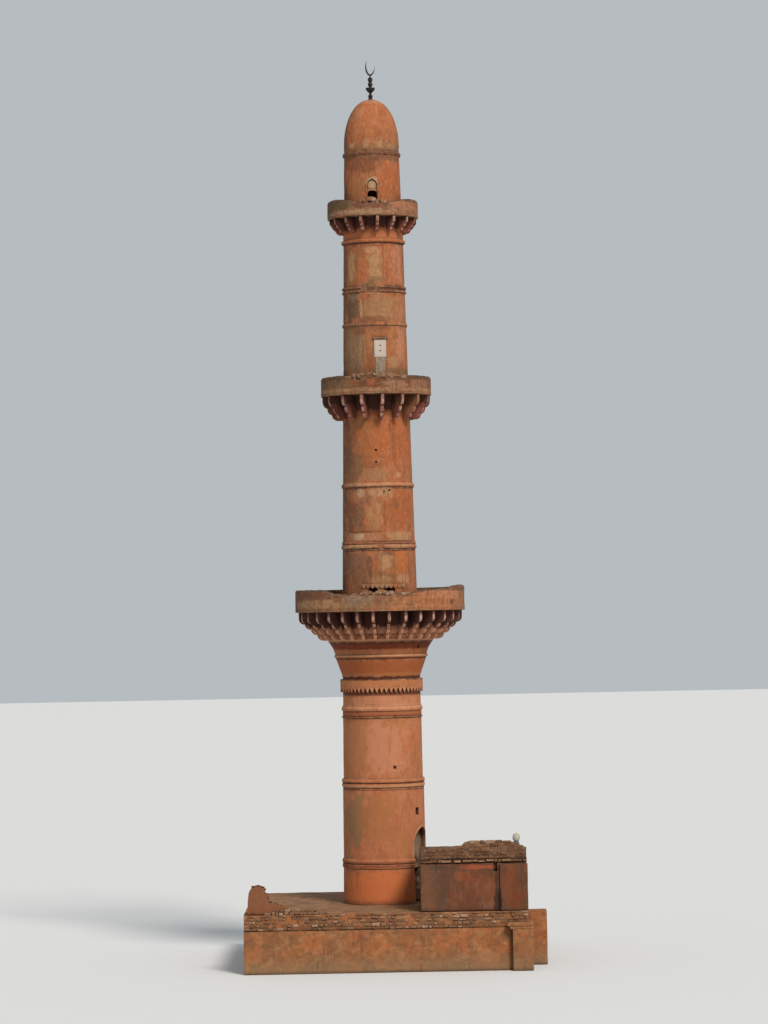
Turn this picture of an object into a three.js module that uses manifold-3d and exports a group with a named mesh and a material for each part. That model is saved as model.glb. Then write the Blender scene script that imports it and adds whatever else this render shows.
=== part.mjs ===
import * as THREE from "three";
import { mergeVertices } from "three/addons/utils/BufferGeometryUtils.js";
import Module from "manifold-3d";

// A round masonry minaret of four storeys with three bracketed balconies, a dome and an iron finial.
// It stands on a square masonry platform that also carries a small flat-roofed annexe.
// The model is half size: METRE is one metre of the real tower in millimetres of the model.
// +Z is up, the front faces -Y, and the origin is on the tower's axis at ground level.
const METRE = 500;
const GRID = 1 / 16;
const FACETS = 32;
const FINIAL_FACETS = 16;

// Clear radius of the round room in each storey.
const ROOM_1 = 1.7;
const ROOM_2 = 1.5;
const ROOM_3 = 1.3;

// Heights where the main parts of the tower meet.
const PLATFORM_TOP = 4.0;
const FLARE_FOOT = 19.55;
const BALCONY_1_FOOT = 22.75;
const BALCONY_1_UNDERSIDE = 24.25;
const BALCONY_1_WALK = 24.55;
const BALCONY_2_FOOT = 37.65;
const BALCONY_2_UNDERSIDE = 39.3;
const BALCONY_2_WALK = 39.55;
const BALCONY_3_FOOT = 50.25;
const BALCONY_3_UNDERSIDE = 51.75;
const BALCONY_3_WALK = 51.95;
const DOME_SPRING = 56.4;
const DOME_TOP = 60.2;
const FINIAL_TOP = 61.9;

// Azimuth of the back doorways of storeys 2 and 4, from the front towards +X.
const BACK_DOORWAY = 135;

// The square platform, its facing walls and the ruined wall at its left end.
const PLATFORM_HALF = 9.6;
const FACING = 0.6;
const RUBBLE_BAND_FOOT = 2.9;
const RUBBLE_BAND_SETBACK = 0.12;
const RUIN_FRONT = -9.3;
const RUIN_THICKNESS = 0.8;

// The doorway in the portal's back, open up to the first string course.
const PORTAL_DOOR = 1.3;

// The annexe: its outer box, wall thickness, roof and parapet.
const ANNEXE_LEFT = 2.36;
const ANNEXE_RIGHT = 9.55;
const ANNEXE_FRONT = -9.2;
const ANNEXE_BACK = -3.3;
const ANNEXE_WALL = 0.7;
const ROOF_UNDERSIDE = 7.2;
const ROOF_TOP = 7.5;
const ANNEXE_PARAPET = 0.45;
const ANNEXE_TOP = 8.7;
const PIER_TOP = 7.15;

// Iron, plaster and stone colours.
const plaster = new THREE.MeshStandardMaterial({ color: 0xb06a44, roughness: 0.9, metalness: 0 });
const weathered = new THREE.MeshStandardMaterial({ color: 0x96703f, roughness: 0.95, metalness: 0 });
const shadedStone = new THREE.MeshStandardMaterial({ color: 0x7a4a30, roughness: 0.95, metalness: 0 });
const redBrick = new THREE.MeshStandardMaterial({ color: 0x704230, roughness: 0.95, metalness: 0 });
const rubble = new THREE.MeshStandardMaterial({ color: 0x7a5d3f, roughness: 1, metalness: 0 });
const paleSlab = new THREE.MeshStandardMaterial({ color: 0xded6cd, roughness: 0.8, metalness: 0 });
const iron = new THREE.MeshStandardMaterial({ color: 0x232328, roughness: 0.5, metalness: 0.9 });

const wasm = await Module();
wasm.setup();

// Puts every vertex on a fine grid, so that faces that touch lie in exactly the same plane.
function onGrid(geometry) {
  const position = geometry.getAttribute("position");
  for (let i = 0; i < position.array.length; i += 1) {
    position.array[i] = Math.round(position.array[i] / GRID) * GRID;
  }
  return geometry;
}

function solidOf(geometry) {
  const bare = geometry.clone();
  bare.deleteAttribute("normal");
  bare.deleteAttribute("uv");
  const merged = mergeVertices(bare, GRID / 4);
  const vertProperties = merged.getAttribute("position").array;
  const triVerts = new Uint32Array(merged.index.array);
  return new wasm.Manifold(new wasm.Mesh({ numProp: 3, vertProperties, triVerts }));
}

function geometryOf(solid) {
  const mesh = solid.getMesh();
  const geometry = new THREE.BufferGeometry();
  geometry.setAttribute("position", new THREE.BufferAttribute(mesh.vertProperties, 3));
  geometry.setIndex(new THREE.BufferAttribute(mesh.triVerts, 1));
  return geometry;
}

function joined(geometry, additions) {
  return geometryOf(additions.reduce((solid, piece) => solid.add(solidOf(piece)), solidOf(geometry)));
}

function cut(geometry, openings) {
  return geometryOf(openings.reduce((solid, tool) => solid.subtract(solidOf(tool)), solidOf(geometry)));
}

// Turns a section round the tower's axis. Its points are [radius, height] in real metres, and go
// round it with the outer face rising.
function turned(section, facets = FACETS) {
  const points = section.map(([radius, height]) => new THREE.Vector2(radius * METRE, height * METRE));
  if (section[0][0] > 0) points.push(points[0].clone());
  return onGrid(new THREE.LatheGeometry(points, facets).rotateX(Math.PI / 2));
}

function drum(room, foot, head, footRadius, headRadius) {
  return turned([[room, foot], [footRadius, foot], [headRadius, head], [room, head]]);
}

// A string course with one roll between its foot and its head.
function singleRoll(room, foot, head, body, roll) {
  const rise = head - foot;
  return turned([
    [room, foot],
    [body, foot],
    [roll, foot + 0.25 * rise],
    [roll, foot + 0.75 * rise],
    [body, head],
    [room, head],
  ]);
}

// A string course with two rolls and a groove between them.
function doubleRoll(room, foot, head, body, roll) {
  const rise = head - foot;
  return turned([
    [room, foot],
    [body, foot],
    [roll, foot + 0.12 * rise],
    [roll, foot + 0.38 * rise],
    [body, foot + 0.5 * rise],
    [roll, foot + 0.62 * rise],
    [roll, foot + 0.88 * rise],
    [body, head],
    [room, head],
  ]);
}

function shapeOf(points) {
  return new THREE.Shape(points.map(([x, y]) => new THREE.Vector2(x * METRE, y * METRE)));
}

// An upright slab: its outline is seen from the front, as [x, height], and runs from front to back.
function slab(outline, front, back) {
  const settings = { depth: (back - front) * METRE, bevelEnabled: false };
  const geometry = new THREE.ExtrudeGeometry(shapeOf(outline), settings);
  return onGrid(geometry.rotateX(Math.PI / 2).translate(0, back * METRE, 0));
}

function block(left, right, front, back, foot, top) {
  return slab([[left, foot], [right, foot], [right, top], [left, top]], front, back);
}

// The same slab seen from the right side: its outline is [y, height] and it runs from left to right.
function sideSlab(outline, left, right) {
  const settings = { depth: (right - left) * METRE, bevelEnabled: false };
  const geometry = new THREE.ExtrudeGeometry(shapeOf(outline), settings);
  return onGrid(geometry.rotateX(Math.PI / 2).rotateZ(Math.PI / 2).translate(left * METRE, 0, 0));
}

// A radial opening with a pointed head. Its azimuth is counted from the front towards +X.
function pointedOpening(azimuth, width, sill, spring, apex, inner, outer) {
  const half = width / 2;
  const bend = spring + 0.62 * (apex - spring);
  const outline = [
    [-half, sill],
    [half, sill],
    [half, spring],
    [0.72 * half, bend],
    [0, apex],
    [-0.72 * half, bend],
    [-half, spring],
  ];
  const settings = { depth: (outer - inner) * METRE, bevelEnabled: false };
  const geometry = new THREE.ExtrudeGeometry(shapeOf(outline), settings).rotateX(Math.PI / 2);
  return geometry.translate(0, -inner * METRE, 0).rotateZ(THREE.MathUtils.degToRad(azimuth));
}

// A parapet whose top course has fallen between two azimuths, down to the height that is left.
function brokenParapet(section, left, top, fromAzimuth, toAzimuth) {
  const reach = 9;
  const steps = 6;
  const edge = Array.from({ length: steps + 1 }, (_, i) => {
    const angle = THREE.MathUtils.degToRad(fromAzimuth + ((toAzimuth - fromAzimuth) * i) / steps);
    return [reach * Math.sin(angle), -reach * Math.cos(angle)];
  });
  const settings = { depth: (top + 1 - left) * METRE, bevelEnabled: false };
  const wedge = new THREE.ExtrudeGeometry(shapeOf([[0, 0], ...edge]), settings);
  return cut(turned(section), [wedge.translate(0, 0, left * METRE)]);
}

// Brackets of one section, [radius, height], spaced evenly round the tower.
function brackets(count, firstAzimuth, width, section) {
  const settings = { depth: width * METRE, bevelEnabled: false };
  return Array.from({ length: count }, (_, i) => {
    const azimuth = firstAzimuth + (i * 360) / count - 90;
    const geometry = new THREE.ExtrudeGeometry(shapeOf(section), settings);
    geometry.translate(0, 0, (-width / 2) * METRE).rotateX(Math.PI / 2);
    return geometry.rotateZ(THREE.MathUtils.degToRad(azimuth));
  });
}

const minaret = new THREE.Group();
minaret.name = "minaret";

function addPiece(name, geometry, material) {
  const mesh = new THREE.Mesh(geometry, material);
  mesh.name = name;
  minaret.add(mesh);
}

// Platform: a rubble fill held by four facing walls, and the ruined wall at its front left corner.
function addPlatform() {
  const edge = PLATFORM_HALF;
  const inside = PLATFORM_HALF - FACING;
  const bandFace = PLATFORM_HALF - RUBBLE_BAND_SETBACK;
  addPiece("platform_fill", block(-inside, inside, -inside, inside, 0, PLATFORM_TOP), rubble);
  const frontFacing = [
    [-edge, 0],
    [-inside, 0],
    [-inside, PLATFORM_TOP],
    [-bandFace, PLATFORM_TOP],
    [-bandFace, RUBBLE_BAND_FOOT],
    [-edge, RUBBLE_BAND_FOOT],
  ];
  addPiece("platform_front_wall", sideSlab(frontFacing, -edge, edge), plaster);
  addPiece("platform_back_wall", block(-edge, edge, inside, edge, 0, PLATFORM_TOP), plaster);
  addPiece("platform_left_wall", block(-edge, -inside, -inside, inside, 0, PLATFORM_TOP), plaster);
  addPiece("platform_right_wall", block(inside, edge, -inside, inside, 0, PLATFORM_TOP), plaster);
  const ruin = [
    [-9.3, PLATFORM_TOP],
    [-6.3, PLATFORM_TOP],
    [-6.5, 4.5],
    [-7.3, 4.7],
    [-7.5, 5.3],
    [-7.9, 5.85],
    [-8.8, 5.95],
    [-9.2, 5.5],
  ];
  addPiece("ruined_wall", slab(ruin, RUIN_FRONT, RUIN_FRONT + RUIN_THICKNESS), redBrick);
  const buttress = [[9.6, 0], [11.0, 0], [11.0, 3.2], [10.7, 3.7], [9.6, 3.7]];
  addPiece("side_buttress", slab(buttress, -6.2, -4.6), plaster);
}

// Annexe: four walls, a roof slab, a broken parapet, a corner pier and the block in front of it.
function addAnnexe() {
  const left = ANNEXE_LEFT;
  const right = ANNEXE_RIGHT;
  const front = ANNEXE_FRONT;
  const back = ANNEXE_BACK;
  const foot = PLATFORM_TOP;
  const head = ROOF_UNDERSIDE;
  const innerFront = front + ANNEXE_WALL;
  const innerBack = back - ANNEXE_WALL;
  const doorLeft = 5.2;
  const doorRight = 6.4;
  const doorHead = 6.2;
  const backWall = [
    [left, foot],
    [doorLeft, foot],
    [doorLeft, doorHead],
    [doorRight, doorHead],
    [doorRight, foot],
    [right, foot],
    [right, head],
    [left, head],
  ];
  const innerRight = right - ANNEXE_WALL;
  addPiece("annexe_front_wall", block(left, right, front, innerFront, foot, head), redBrick);
  addPiece("annexe_back_wall", slab(backWall, innerBack, back), redBrick);
  addPiece("annexe_left_wall", block(left, left + ANNEXE_WALL, innerFront, innerBack, foot, head), redBrick);
  addPiece("annexe_right_wall", block(innerRight, right, innerFront, innerBack, foot, head), redBrick);
  addPiece("annexe_roof", block(left, right, front, back, head, ROOF_TOP), weathered);

  const brokenTop = [
    [left, ROOF_TOP],
    [right, ROOF_TOP],
    [right, 8.2],
    [9.15, 8.3],
    [8.95, 8.62],
    [7.8, ANNEXE_TOP],
    [5.4, ANNEXE_TOP],
    [5.25, 8.42],
    [2.9, 8.3],
    [left, 8.05],
  ];
  const frontParapet = slab(brokenTop, front, front + ANNEXE_PARAPET);
  const sideTop = 8;
  const knob = turned([[0, 8.4], [0.18, 8.4], [0.14, 8.66], [0.25, 8.84], [0.22, 9.05], [0, 9.16]], 8);
  const parapet = joined(frontParapet, [
    block(left, left + ANNEXE_PARAPET, front, back, ROOF_TOP, sideTop),
    block(right - ANNEXE_PARAPET, right, front, back, ROOF_TOP, sideTop),
    block(left, right, back - ANNEXE_PARAPET, back, ROOF_TOP, sideTop),
    knob.translate(8.85 * METRE, (front + ANNEXE_PARAPET / 2) * METRE, 0),
  ]);
  addPiece("annexe_parapet", parapet, weathered);

  const pierFront = front - 0.18;
  addPiece("annexe_corner_pier", block(7.7, PLATFORM_HALF, pierFront, front, foot, PIER_TOP), redBrick);
  addPiece("pier_footing", block(8.1, 9.9, -10.2, -PLATFORM_HALF, 0, 3.25), plaster);
}

// Storey 1: drums and string courses up to the flare, and the tall portal recess in its right side.
function addStorey1() {
  const portalAzimuth = 68;
  const recess = pointedOpening(portalAzimuth, 2.2, PLATFORM_TOP - 1, 8.3, 9.4, 2.35, 4);
  const doorway = block(-PORTAL_DOOR / 2, PORTAL_DOOR / 2, -3, -1, PLATFORM_TOP - 1, 7);
  doorway.rotateZ(THREE.MathUtils.degToRad(portalAzimuth));
  addPiece("foot_drum", cut(drum(ROOM_1, PLATFORM_TOP, 6.4, 2.92, 2.88), [recess, doorway]), plaster);
  addPiece("string_course_1", cut(doubleRoll(ROOM_1, 6.4, 7.1, 2.87, 2.96), [recess]), plaster);
  addPiece("lower_drum", cut(drum(ROOM_1, 7.1, 12.0, 2.86, 2.83), [recess]), plaster);
  addPiece("string_course_2", doubleRoll(ROOM_1, 12.0, 12.65, 2.8, 2.9), plaster);
  addPiece("upper_drum", drum(ROOM_1, 12.65, 16.85, 2.77, 2.74), plaster);
  addPiece("string_course_3", doubleRoll(ROOM_1, 16.85, 17.8, 2.72, 2.83), plaster);
  addPiece("neck_drum", drum(ROOM_1, 17.8, 18.95, 2.71, 2.71), plaster);
  addPiece("toothed_course", drum(ROOM_1, 18.95, FLARE_FOOT, 2.87, 2.87), plaster);
}

// The flare under the first balcony: a hollow curve with a thin roll on it, and a round cornice.
function addFlare() {
  const flare = turned([
    [ROOM_1, FLARE_FOOT],
    [2.7, FLARE_FOOT],
    [2.95, 20.4],
    [3.14, 21.0],
    [3.24, 21.05],
    [3.26, 21.24],
    [3.2, 21.3],
    [3.63, 22.15],
    [ROOM_1, 22.15],
  ]);
  addPiece("flare", flare, plaster);
  const cornice = turned([
    [ROOM_1, 22.15],
    [3.75, 22.15],
    [4.02, 22.35],
    [4.08, 22.6],
    [4.0, BALCONY_1_FOOT],
    [ROOM_1, BALCONY_1_FOOT],
  ]);
  addPiece("flare_cornice", cornice, plaster);
}

// A balcony: a ring of brackets built into the wall, a floor slab on them and a parapet on the slab.
function addBalcony(number, ring, bracketSet, floor, parapet) {
  addPiece("balcony_" + number + "_brackets", joined(ring, bracketSet), shadedStone);
  addPiece("balcony_" + number + "_floor", floor, weathered);
  addPiece("balcony_" + number + "_parapet", parapet, weathered);
}

function floorSlab(underside, walk, radius) {
  return turned([[0, underside], [radius, underside], [radius, walk], [0, walk]]);
}

function addBalcony1() {
  const foot = BALCONY_1_FOOT;
  const head = BALCONY_1_UNDERSIDE;
  const section = [
    [3.9, foot],
    [4.45, foot + 0.05],
    [4.65, foot + 0.42],
    [5.0, foot + 0.5],
    [5.2, foot + 0.9],
    [5.5, foot + 1.0],
    [5.75, head],
    [3.9, head],
  ];
  addBalcony(
    1,
    drum(ROOM_1, foot, head, 4.15, 4.3),
    brackets(32, 6.5, 0.42, section),
    floorSlab(head, BALCONY_1_WALK, 5.88),
    brokenParapet([
      [5.53, BALCONY_1_WALK],
      [5.93, BALCONY_1_WALK],
      [5.93, 25.7],
      [5.83, 25.9],
      [5.63, 25.9],
      [5.53, 25.8],
    ], 25.45, 25.9, -34, 28),
  );
}

function addBalcony2() {
  const foot = BALCONY_2_FOOT;
  const head = BALCONY_2_UNDERSIDE;
  const section = [
    [2.2, foot],
    [2.9, foot],
    [3.17, foot + 0.25],
    [3.54, foot + 0.97],
    [3.8, foot + 1.3],
    [3.82, head],
    [2.2, head],
  ];
  addBalcony(
    2,
    drum(ROOM_2, foot, head, 2.36, 2.36),
    brackets(16, 6.5, 0.42, section),
    floorSlab(head, BALCONY_2_WALK, 3.84),
    brokenParapet([
      [3.5, BALCONY_2_WALK],
      [3.86, BALCONY_2_WALK],
      [3.86, 40.45],
      [3.76, 40.65],
      [3.58, 40.65],
      [3.5, 40.55],
    ], 40.42, 40.65, -38, 34),
  );
}

function addBalcony3() {
  const foot = BALCONY_3_FOOT;
  const head = BALCONY_3_UNDERSIDE;
  const section = [
    [1.95, foot + 0.45],
    [2.45, foot + 0.45],
    [2.78, foot + 0.85],
    [3.02, foot + 1.15],
    [3.1, head],
    [1.95, head],
  ];
  addBalcony(
    3,
    drum(ROOM_3, foot, head, 2.1, 2.1),
    brackets(16, 6.5, 0.38, section),
    floorSlab(head, BALCONY_3_WALK, 3.14),
    brokenParapet([
      [2.85, BALCONY_3_WALK],
      [3.18, BALCONY_3_WALK],
      [3.18, 52.83],
      [3.08, 53.0],
      [2.94, 53.0],
      [2.85, 52.9],
    ], 52.7, 53.0, -36, 40),
  );
}

// Storey 2: two small arched doorways look out over the front of the first balcony, and one at the
// back stands aside so that none of them face each other.
function addStorey2() {
  const doorways = [-10.6, 17.4, BACK_DOORWAY].map((azimuth) =>
    pointedOpening(azimuth, 0.7, BALCONY_1_WALK - 1, 25.6, 26.1, 1, 4),
  );
  const foot = drum(ROOM_2, BALCONY_1_WALK, 28.6, 2.62, 2.54);
  addPiece("storey_2_foot_drum", cut(foot, doorways), plaster);
  addPiece("string_course_4", doubleRoll(ROOM_2, 28.6, 29.15, 2.53, 2.63), plaster);
  addPiece("storey_2_middle_drum", drum(ROOM_2, 29.15, 32.85, 2.52, 2.45), plaster);
  const upper = turned([
    [ROOM_2, 32.85],
    [2.46, 32.85],
    [2.54, 32.93],
    [2.54, 33.12],
    [2.43, 33.2],
    [2.35, BALCONY_2_FOOT],
    [ROOM_2, BALCONY_2_FOOT],
  ]);
  addPiece("storey_2_upper_drum", upper, plaster);
}

// Storey 3: a window closed by a pale slab looks out to the front, a doorway opens at the back.
function addStorey3() {
  const slabAzimuth = 9;
  const slabWidth = 0.85;
  const slabFoot = 41.92;
  const slabHead = 43.15;
  const slabDepth = 0.15;
  const face = 2.24;
  const seat = 0.001;
  const radial = (width, inner, outer, low, high) => {
    const piece = block(-width / 2, width / 2, -outer, -inner, low, high);
    return piece.rotateZ(THREE.MathUtils.degToRad(slabAzimuth));
  };
  const window = radial(slabWidth + 2 * seat, 1, 3, slabFoot - seat, slabHead + seat);
  const doorway = pointedOpening(180, 0.8, BALCONY_2_WALK - 1, 41.15, 41.65, 1, 3);
  const foot = drum(ROOM_3, BALCONY_2_WALK, 44.15, 2.29, 2.2);
  addPiece("storey_3_foot_drum", cut(foot, [window, doorway]), weathered);
  addPiece("window_slab", radial(slabWidth, face - slabDepth, face, slabFoot, slabHead), paleSlab);
  const middle = turned([
    [ROOM_3, 44.15],
    [2.28, 44.15],
    [2.28, 44.33],
    [2.2, 44.38],
    [2.16, 46.45],
    [ROOM_3, 46.45],
  ]);
  addPiece("storey_3_middle_drum", middle, weathered);
  addPiece("string_course_5", doubleRoll(ROOM_3, 46.45, 46.95, 2.16, 2.27), weathered);
  const upper = turned([
    [ROOM_3, 46.95],
    [2.14, 46.95],
    [2.1, 49.95],
    [2.25, 50.01],
    [2.25, 50.19],
    [2.1, BALCONY_3_FOOT],
    [ROOM_3, BALCONY_3_FOOT],
  ]);
  addPiece("storey_3_upper_drum", upper, weathered);
}

// Storey 4: a small round chamber under a pointed dome. It has one doorway at the front, with an
// arched niche over it, and one at the back that stands aside so that the two don't face each other.
function addStorey4() {
  const niche = pointedOpening(0, 0.76, 53.0, 53.95, 54.45, 1.88, 3);
  const doorways = [0, BACK_DOORWAY].map((azimuth) =>
    pointedOpening(azimuth, 0.66, BALCONY_3_WALK - 1, 53.35, 53.6, 1, 3),
  );
  const chamber = drum(ROOM_3, BALCONY_3_WALK, 56.1, 2.03, 1.93);
  addPiece("storey_4_drum", cut(chamber, [niche, ...doorways]), plaster);
  addPiece("dome_ring", singleRoll(ROOM_3, 56.1, DOME_SPRING, 1.93, 2.04), plaster);
  const dome = turned([
    [1.55, DOME_SPRING],
    [1.92, DOME_SPRING],
    [1.92, 57.2],
    [1.8, 58.1],
    [1.6, 58.8],
    [1.36, 59.34],
    [0.98, 59.82],
    [0.5, 60.12],
    [0.16, DOME_TOP],
    [0, DOME_TOP],
    [0, 59.9],
    [0.5, 59.75],
    [0.95, 59.4],
    [1.25, 58.8],
    [1.45, 58.0],
    [1.55, 57.2],
    [1.55, DOME_SPRING],
  ]);
  addPiece("dome", dome, plaster);
}

// The iron finial: a foot plate, three balls and a cup on one stem, and a tilted crescent.
function addFinial() {
  const finial = turned([
    [0, DOME_TOP],
    [0.16, DOME_TOP],
    [0.16, 60.28],
    [0.08, 60.32],
    [0.15, 60.4],
    [0.15, 60.5],
    [0.07, 60.6],
    [0.07, 60.7],
    [0.2, 60.84],
    [0.33, 60.98],
    [0.31, 61.03],
    [0.08, 61.05],
    [0.08, 61.14],
    [0.15, 61.26],
    [0.15, 61.36],
    [0.08, 61.46],
    [0.15, 61.56],
    [0.15, 61.66],
    [0.06, 61.78],
    [0.05, FINIAL_TOP],
    [0, FINIAL_TOP],
  ], FINIAL_FACETS);
  addPiece("finial", finial, iron);
  addPiece("crescent", crescentGeometry(), iron);
}

// The crescent: an upright oval open at the top, thin at its two tips and tipped so that the left
// tip stands higher. It is flat where it sits on the stem.
function crescentGeometry() {
  const halfWidth = 0.34;
  const halfHeight = 0.62;
  const leftTip = 127;
  const rightTip = 365;
  const steps = 16;
  const thickness = 0.09;
  const fullness = 0.27;
  const centre = FINIAL_TOP + 0.6;
  const outline = (inset) =>
    Array.from({ length: steps + 1 }, (_, i) => {
      const angle = THREE.MathUtils.degToRad(leftTip + ((rightTip - leftTip) * i) / steps);
      const share = 1 - inset * Math.sin((Math.PI * i) / steps);
      const height = centre + share * halfHeight * Math.sin(angle);
      return [share * halfWidth * Math.cos(angle), Math.max(height, FINIAL_TOP)];
    });
  const outer = outline(0);
  const inner = outline(fullness).slice(1, -1).reverse();
  return slab([...outer, ...inner], -thickness / 2, thickness / 2);
}

addPlatform();
addAnnexe();
addStorey1();
addFlare();
addBalcony1();
addStorey2();
addBalcony2();
addStorey3();
addBalcony3();
addStorey4();
addFinial();

export default minaret;
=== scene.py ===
"""Half-size masonry minaret: worn lime plaster, carved brackets, ruined edges and an iron finial.

Everything is in metres with +Z up, the front faces -Y and the origin is on the tower's axis at
ground level. Heights and radii written as real metres are multiplied by METRE. Azimuths are in
degrees from the front towards +X.
"""
import math
import random

import bmesh
import bpy
import numpy as np
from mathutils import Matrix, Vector


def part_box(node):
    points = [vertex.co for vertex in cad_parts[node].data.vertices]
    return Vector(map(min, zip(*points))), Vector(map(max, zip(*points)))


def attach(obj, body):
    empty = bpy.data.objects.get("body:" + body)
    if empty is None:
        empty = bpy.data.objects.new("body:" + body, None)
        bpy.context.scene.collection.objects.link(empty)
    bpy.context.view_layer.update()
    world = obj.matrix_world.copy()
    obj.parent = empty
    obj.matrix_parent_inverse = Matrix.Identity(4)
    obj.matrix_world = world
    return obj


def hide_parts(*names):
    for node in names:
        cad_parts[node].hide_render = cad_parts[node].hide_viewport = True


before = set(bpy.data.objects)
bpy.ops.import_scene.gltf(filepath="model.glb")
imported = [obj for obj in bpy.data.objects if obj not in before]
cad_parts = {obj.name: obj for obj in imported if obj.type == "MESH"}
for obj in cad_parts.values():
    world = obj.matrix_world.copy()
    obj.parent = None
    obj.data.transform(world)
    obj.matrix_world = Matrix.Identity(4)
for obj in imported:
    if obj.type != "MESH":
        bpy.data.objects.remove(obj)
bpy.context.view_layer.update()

# One metre of the real tower in this half-size model.
METRE = 0.5

# Mesh density: facets round the tower, and the step up and along a wall.
FACETS = 224
WALL_STEP = 0.05

# Clear radius of the round room in each storey, real metres.
ROOM_1 = 1.7
ROOM_2 = 1.5
ROOM_3 = 1.3

# Portal at the tower's foot, real metres.
PORTAL_AZIMUTH = 68
PORTAL_SPRING = 8.0
PORTAL_APEX = 9.4

# Underside of the toothed course, and the radius inside which the wall under its teeth gets a painted shadow.
TEETH_FOOT = 19.0
TEETH_SHADOW_RADIUS = 2.745

# Azimuth of the back doorways of storeys 2 and 4.
BACK_DOORWAY = 135

# Pale slab in the window of storey 3: its azimuth, and its edges and face in real metres.
SLAB_AZIMUTH = 9
SLAB_HALF = 0.42
SLAB_FOOT = 41.925
SLAB_HEAD = 43.145
SLAB_FACE = 2.245

# Azimuth of the first bracket of each balcony.
BRACKET_START = 6.5

# Half the platform's width, and the foot of the bare rubble along its front, real metres.
PLATFORM_HALF = 9.6
RUBBLE_FOOT = 2.9

# Annexe: its back face and the top of its roof, real metres.
ANNEXE_BACK = -3.3
ROOF_TOP = 7.5

# Light, sky, floor and viewpoint: degrees, linear colours, model metres and millimetres of lens.
SUN_AZIMUTH = 27
SUN_HEIGHT = 43
SUN_STRENGTH = 3.2
SUN_COLOUR = (1.0, 0.95, 0.88)
SKY_COLOUR = (0.467, 0.504, 0.527, 1)
FLOOR_COLOUR = (0.62, 0.62, 0.62, 1)
FLOOR_HALF = 400
CAMERA_PLACE = (0.0, -123.5, 11.98)
CAMERA_AIM = (0.2, 0.0, 15.6)
CAMERA_LENS = 124
CAMERA_ROLL = -1.09


# Value noise on points, the same on every run.

def lattice(i, j, k, seed):
    h = i.astype(np.uint32) * np.uint32(0x8DA6B343)
    h = h ^ (j.astype(np.uint32) * np.uint32(0xD8163841))
    h = h ^ (k.astype(np.uint32) * np.uint32(0xCB1AB31F))
    h = h + np.uint32((seed * 2654435761) % 2**32)
    h = (h ^ (h >> np.uint32(15))) * np.uint32(0x2C1B3C6D)
    h = (h ^ (h >> np.uint32(12))) * np.uint32(0x297A2D39)
    return (h ^ (h >> np.uint32(15))).astype(np.float64) / 2**31 - 1


def rough(points, size, seed, octaves=3):
    """Noise from about -1 to 1 whose largest features are as wide as size, in metres."""
    points = np.asarray(points, float)
    total = np.zeros(len(points))
    weight = 0.0
    for octave in range(octaves):
        scaled = points * (2**octave / size)
        cell = np.floor(scaled)
        part = scaled - cell
        part = part * part * (3 - 2 * part)
        i, j, k = (cell[:, axis].astype(np.int64) for axis in range(3))
        value = np.zeros(len(points))
        for corner in range(8):
            a, b, c = corner & 1, corner >> 1 & 1, corner >> 2
            share = (
                (part[:, 0] if a else 1 - part[:, 0])
                * (part[:, 1] if b else 1 - part[:, 1])
                * (part[:, 2] if c else 1 - part[:, 2])
            )
            value += share * lattice(i + a, j + b, k + c, seed + octave)
        total += value / 2**octave
        weight += 1 / 2**octave
    return total / weight


def eased(value, low, high):
    """0 below low, 1 above high and a smooth step between."""
    share = np.clip((np.asarray(value, float) - low) / (high - low), 0, 1)
    return share * share * (3 - 2 * share)


# Meshes and pieces.

def new_object(name, points, faces):
    """A linked mesh object whose faces look outward."""
    mesh = bpy.data.meshes.new(name)
    mesh.from_pydata([tuple(point) for point in points], [], [tuple(face) for face in faces])
    work = bmesh.new()
    work.from_mesh(mesh)
    bmesh.ops.recalc_face_normals(work, faces=work.faces)
    work.to_mesh(mesh)
    work.free()
    made = bpy.data.objects.new(name, mesh)
    bpy.context.scene.collection.objects.link(made)
    return made


def mesh_piece(name, shape, finish, nodes=(), smooth=True, cutters=()):
    """A piece from a shape's points and faces, carved by cutters, that stands for CAD nodes.

    Its one material is its finish.
    """
    made = new_object(name, *shape)
    if cutters:
        carve(made, cutters)
    made.data.materials.clear()
    made.data.materials.append(FINISHES[finish])
    made.data.polygons.foreach_set("use_smooth", [smooth] * len(made.data.polygons))
    if smooth:
        made.data.set_sharp_from_angle(angle=math.radians(38))
    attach(made, "root")
    if nodes:
        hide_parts(*nodes)
    return made


def carve(made, cutters):
    """Cuts closed shapes out of a piece and removes them."""
    for cutter in cutters:
        modifier = made.modifiers.new("cut", "BOOLEAN")
        modifier.operation = "DIFFERENCE"
        modifier.solver = "EXACT"
        modifier.object = cutter
    depsgraph = bpy.context.evaluated_depsgraph_get()
    depsgraph.update()
    carved = bpy.data.meshes.new_from_object(made.evaluated_get(depsgraph))
    made.modifiers.clear()
    made.data = carved
    for cutter in cutters:
        bpy.data.objects.remove(cutter)


def combined(parts):
    """One list of points and one of faces from several (points, faces) pairs."""
    points = []
    faces = []
    for part_points, part_faces in parts:
        start = len(points)
        points.extend(part_points)
        faces.extend([tuple(start + index for index in face) for face in part_faces])
    return points, faces


def tube(loops):
    """Points and faces of a closed tube through equal loops of points, capped at both ends."""
    count = len(loops[0])
    points = [point for loop in loops for point in loop]
    last = len(points) - count
    faces = [tuple(range(count)), tuple(reversed(range(last, len(points))))]
    for start in range(0, last, count):
        for i in range(count):
            k = (i + 1) % count
            faces.append((start + i, start + count + i, start + count + k, start + k))
    return points, faces


def spaced(start, end, step):
    """Points from start up to, but not including, end, no further apart than step."""
    start = np.asarray(start, float)
    end = np.asarray(end, float)
    count = max(1, math.ceil(np.linalg.norm(end - start) / step))
    return [start + (end - start) * i / count for i in range(count)]


def straight(profile, step):
    """The profile's own corners, with points between them no further apart than step."""
    line = []
    for start, end in zip(profile, profile[1:]):
        line.extend(spaced(start, end, step))
    return [*line, np.asarray(profile[-1], float)]


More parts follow.
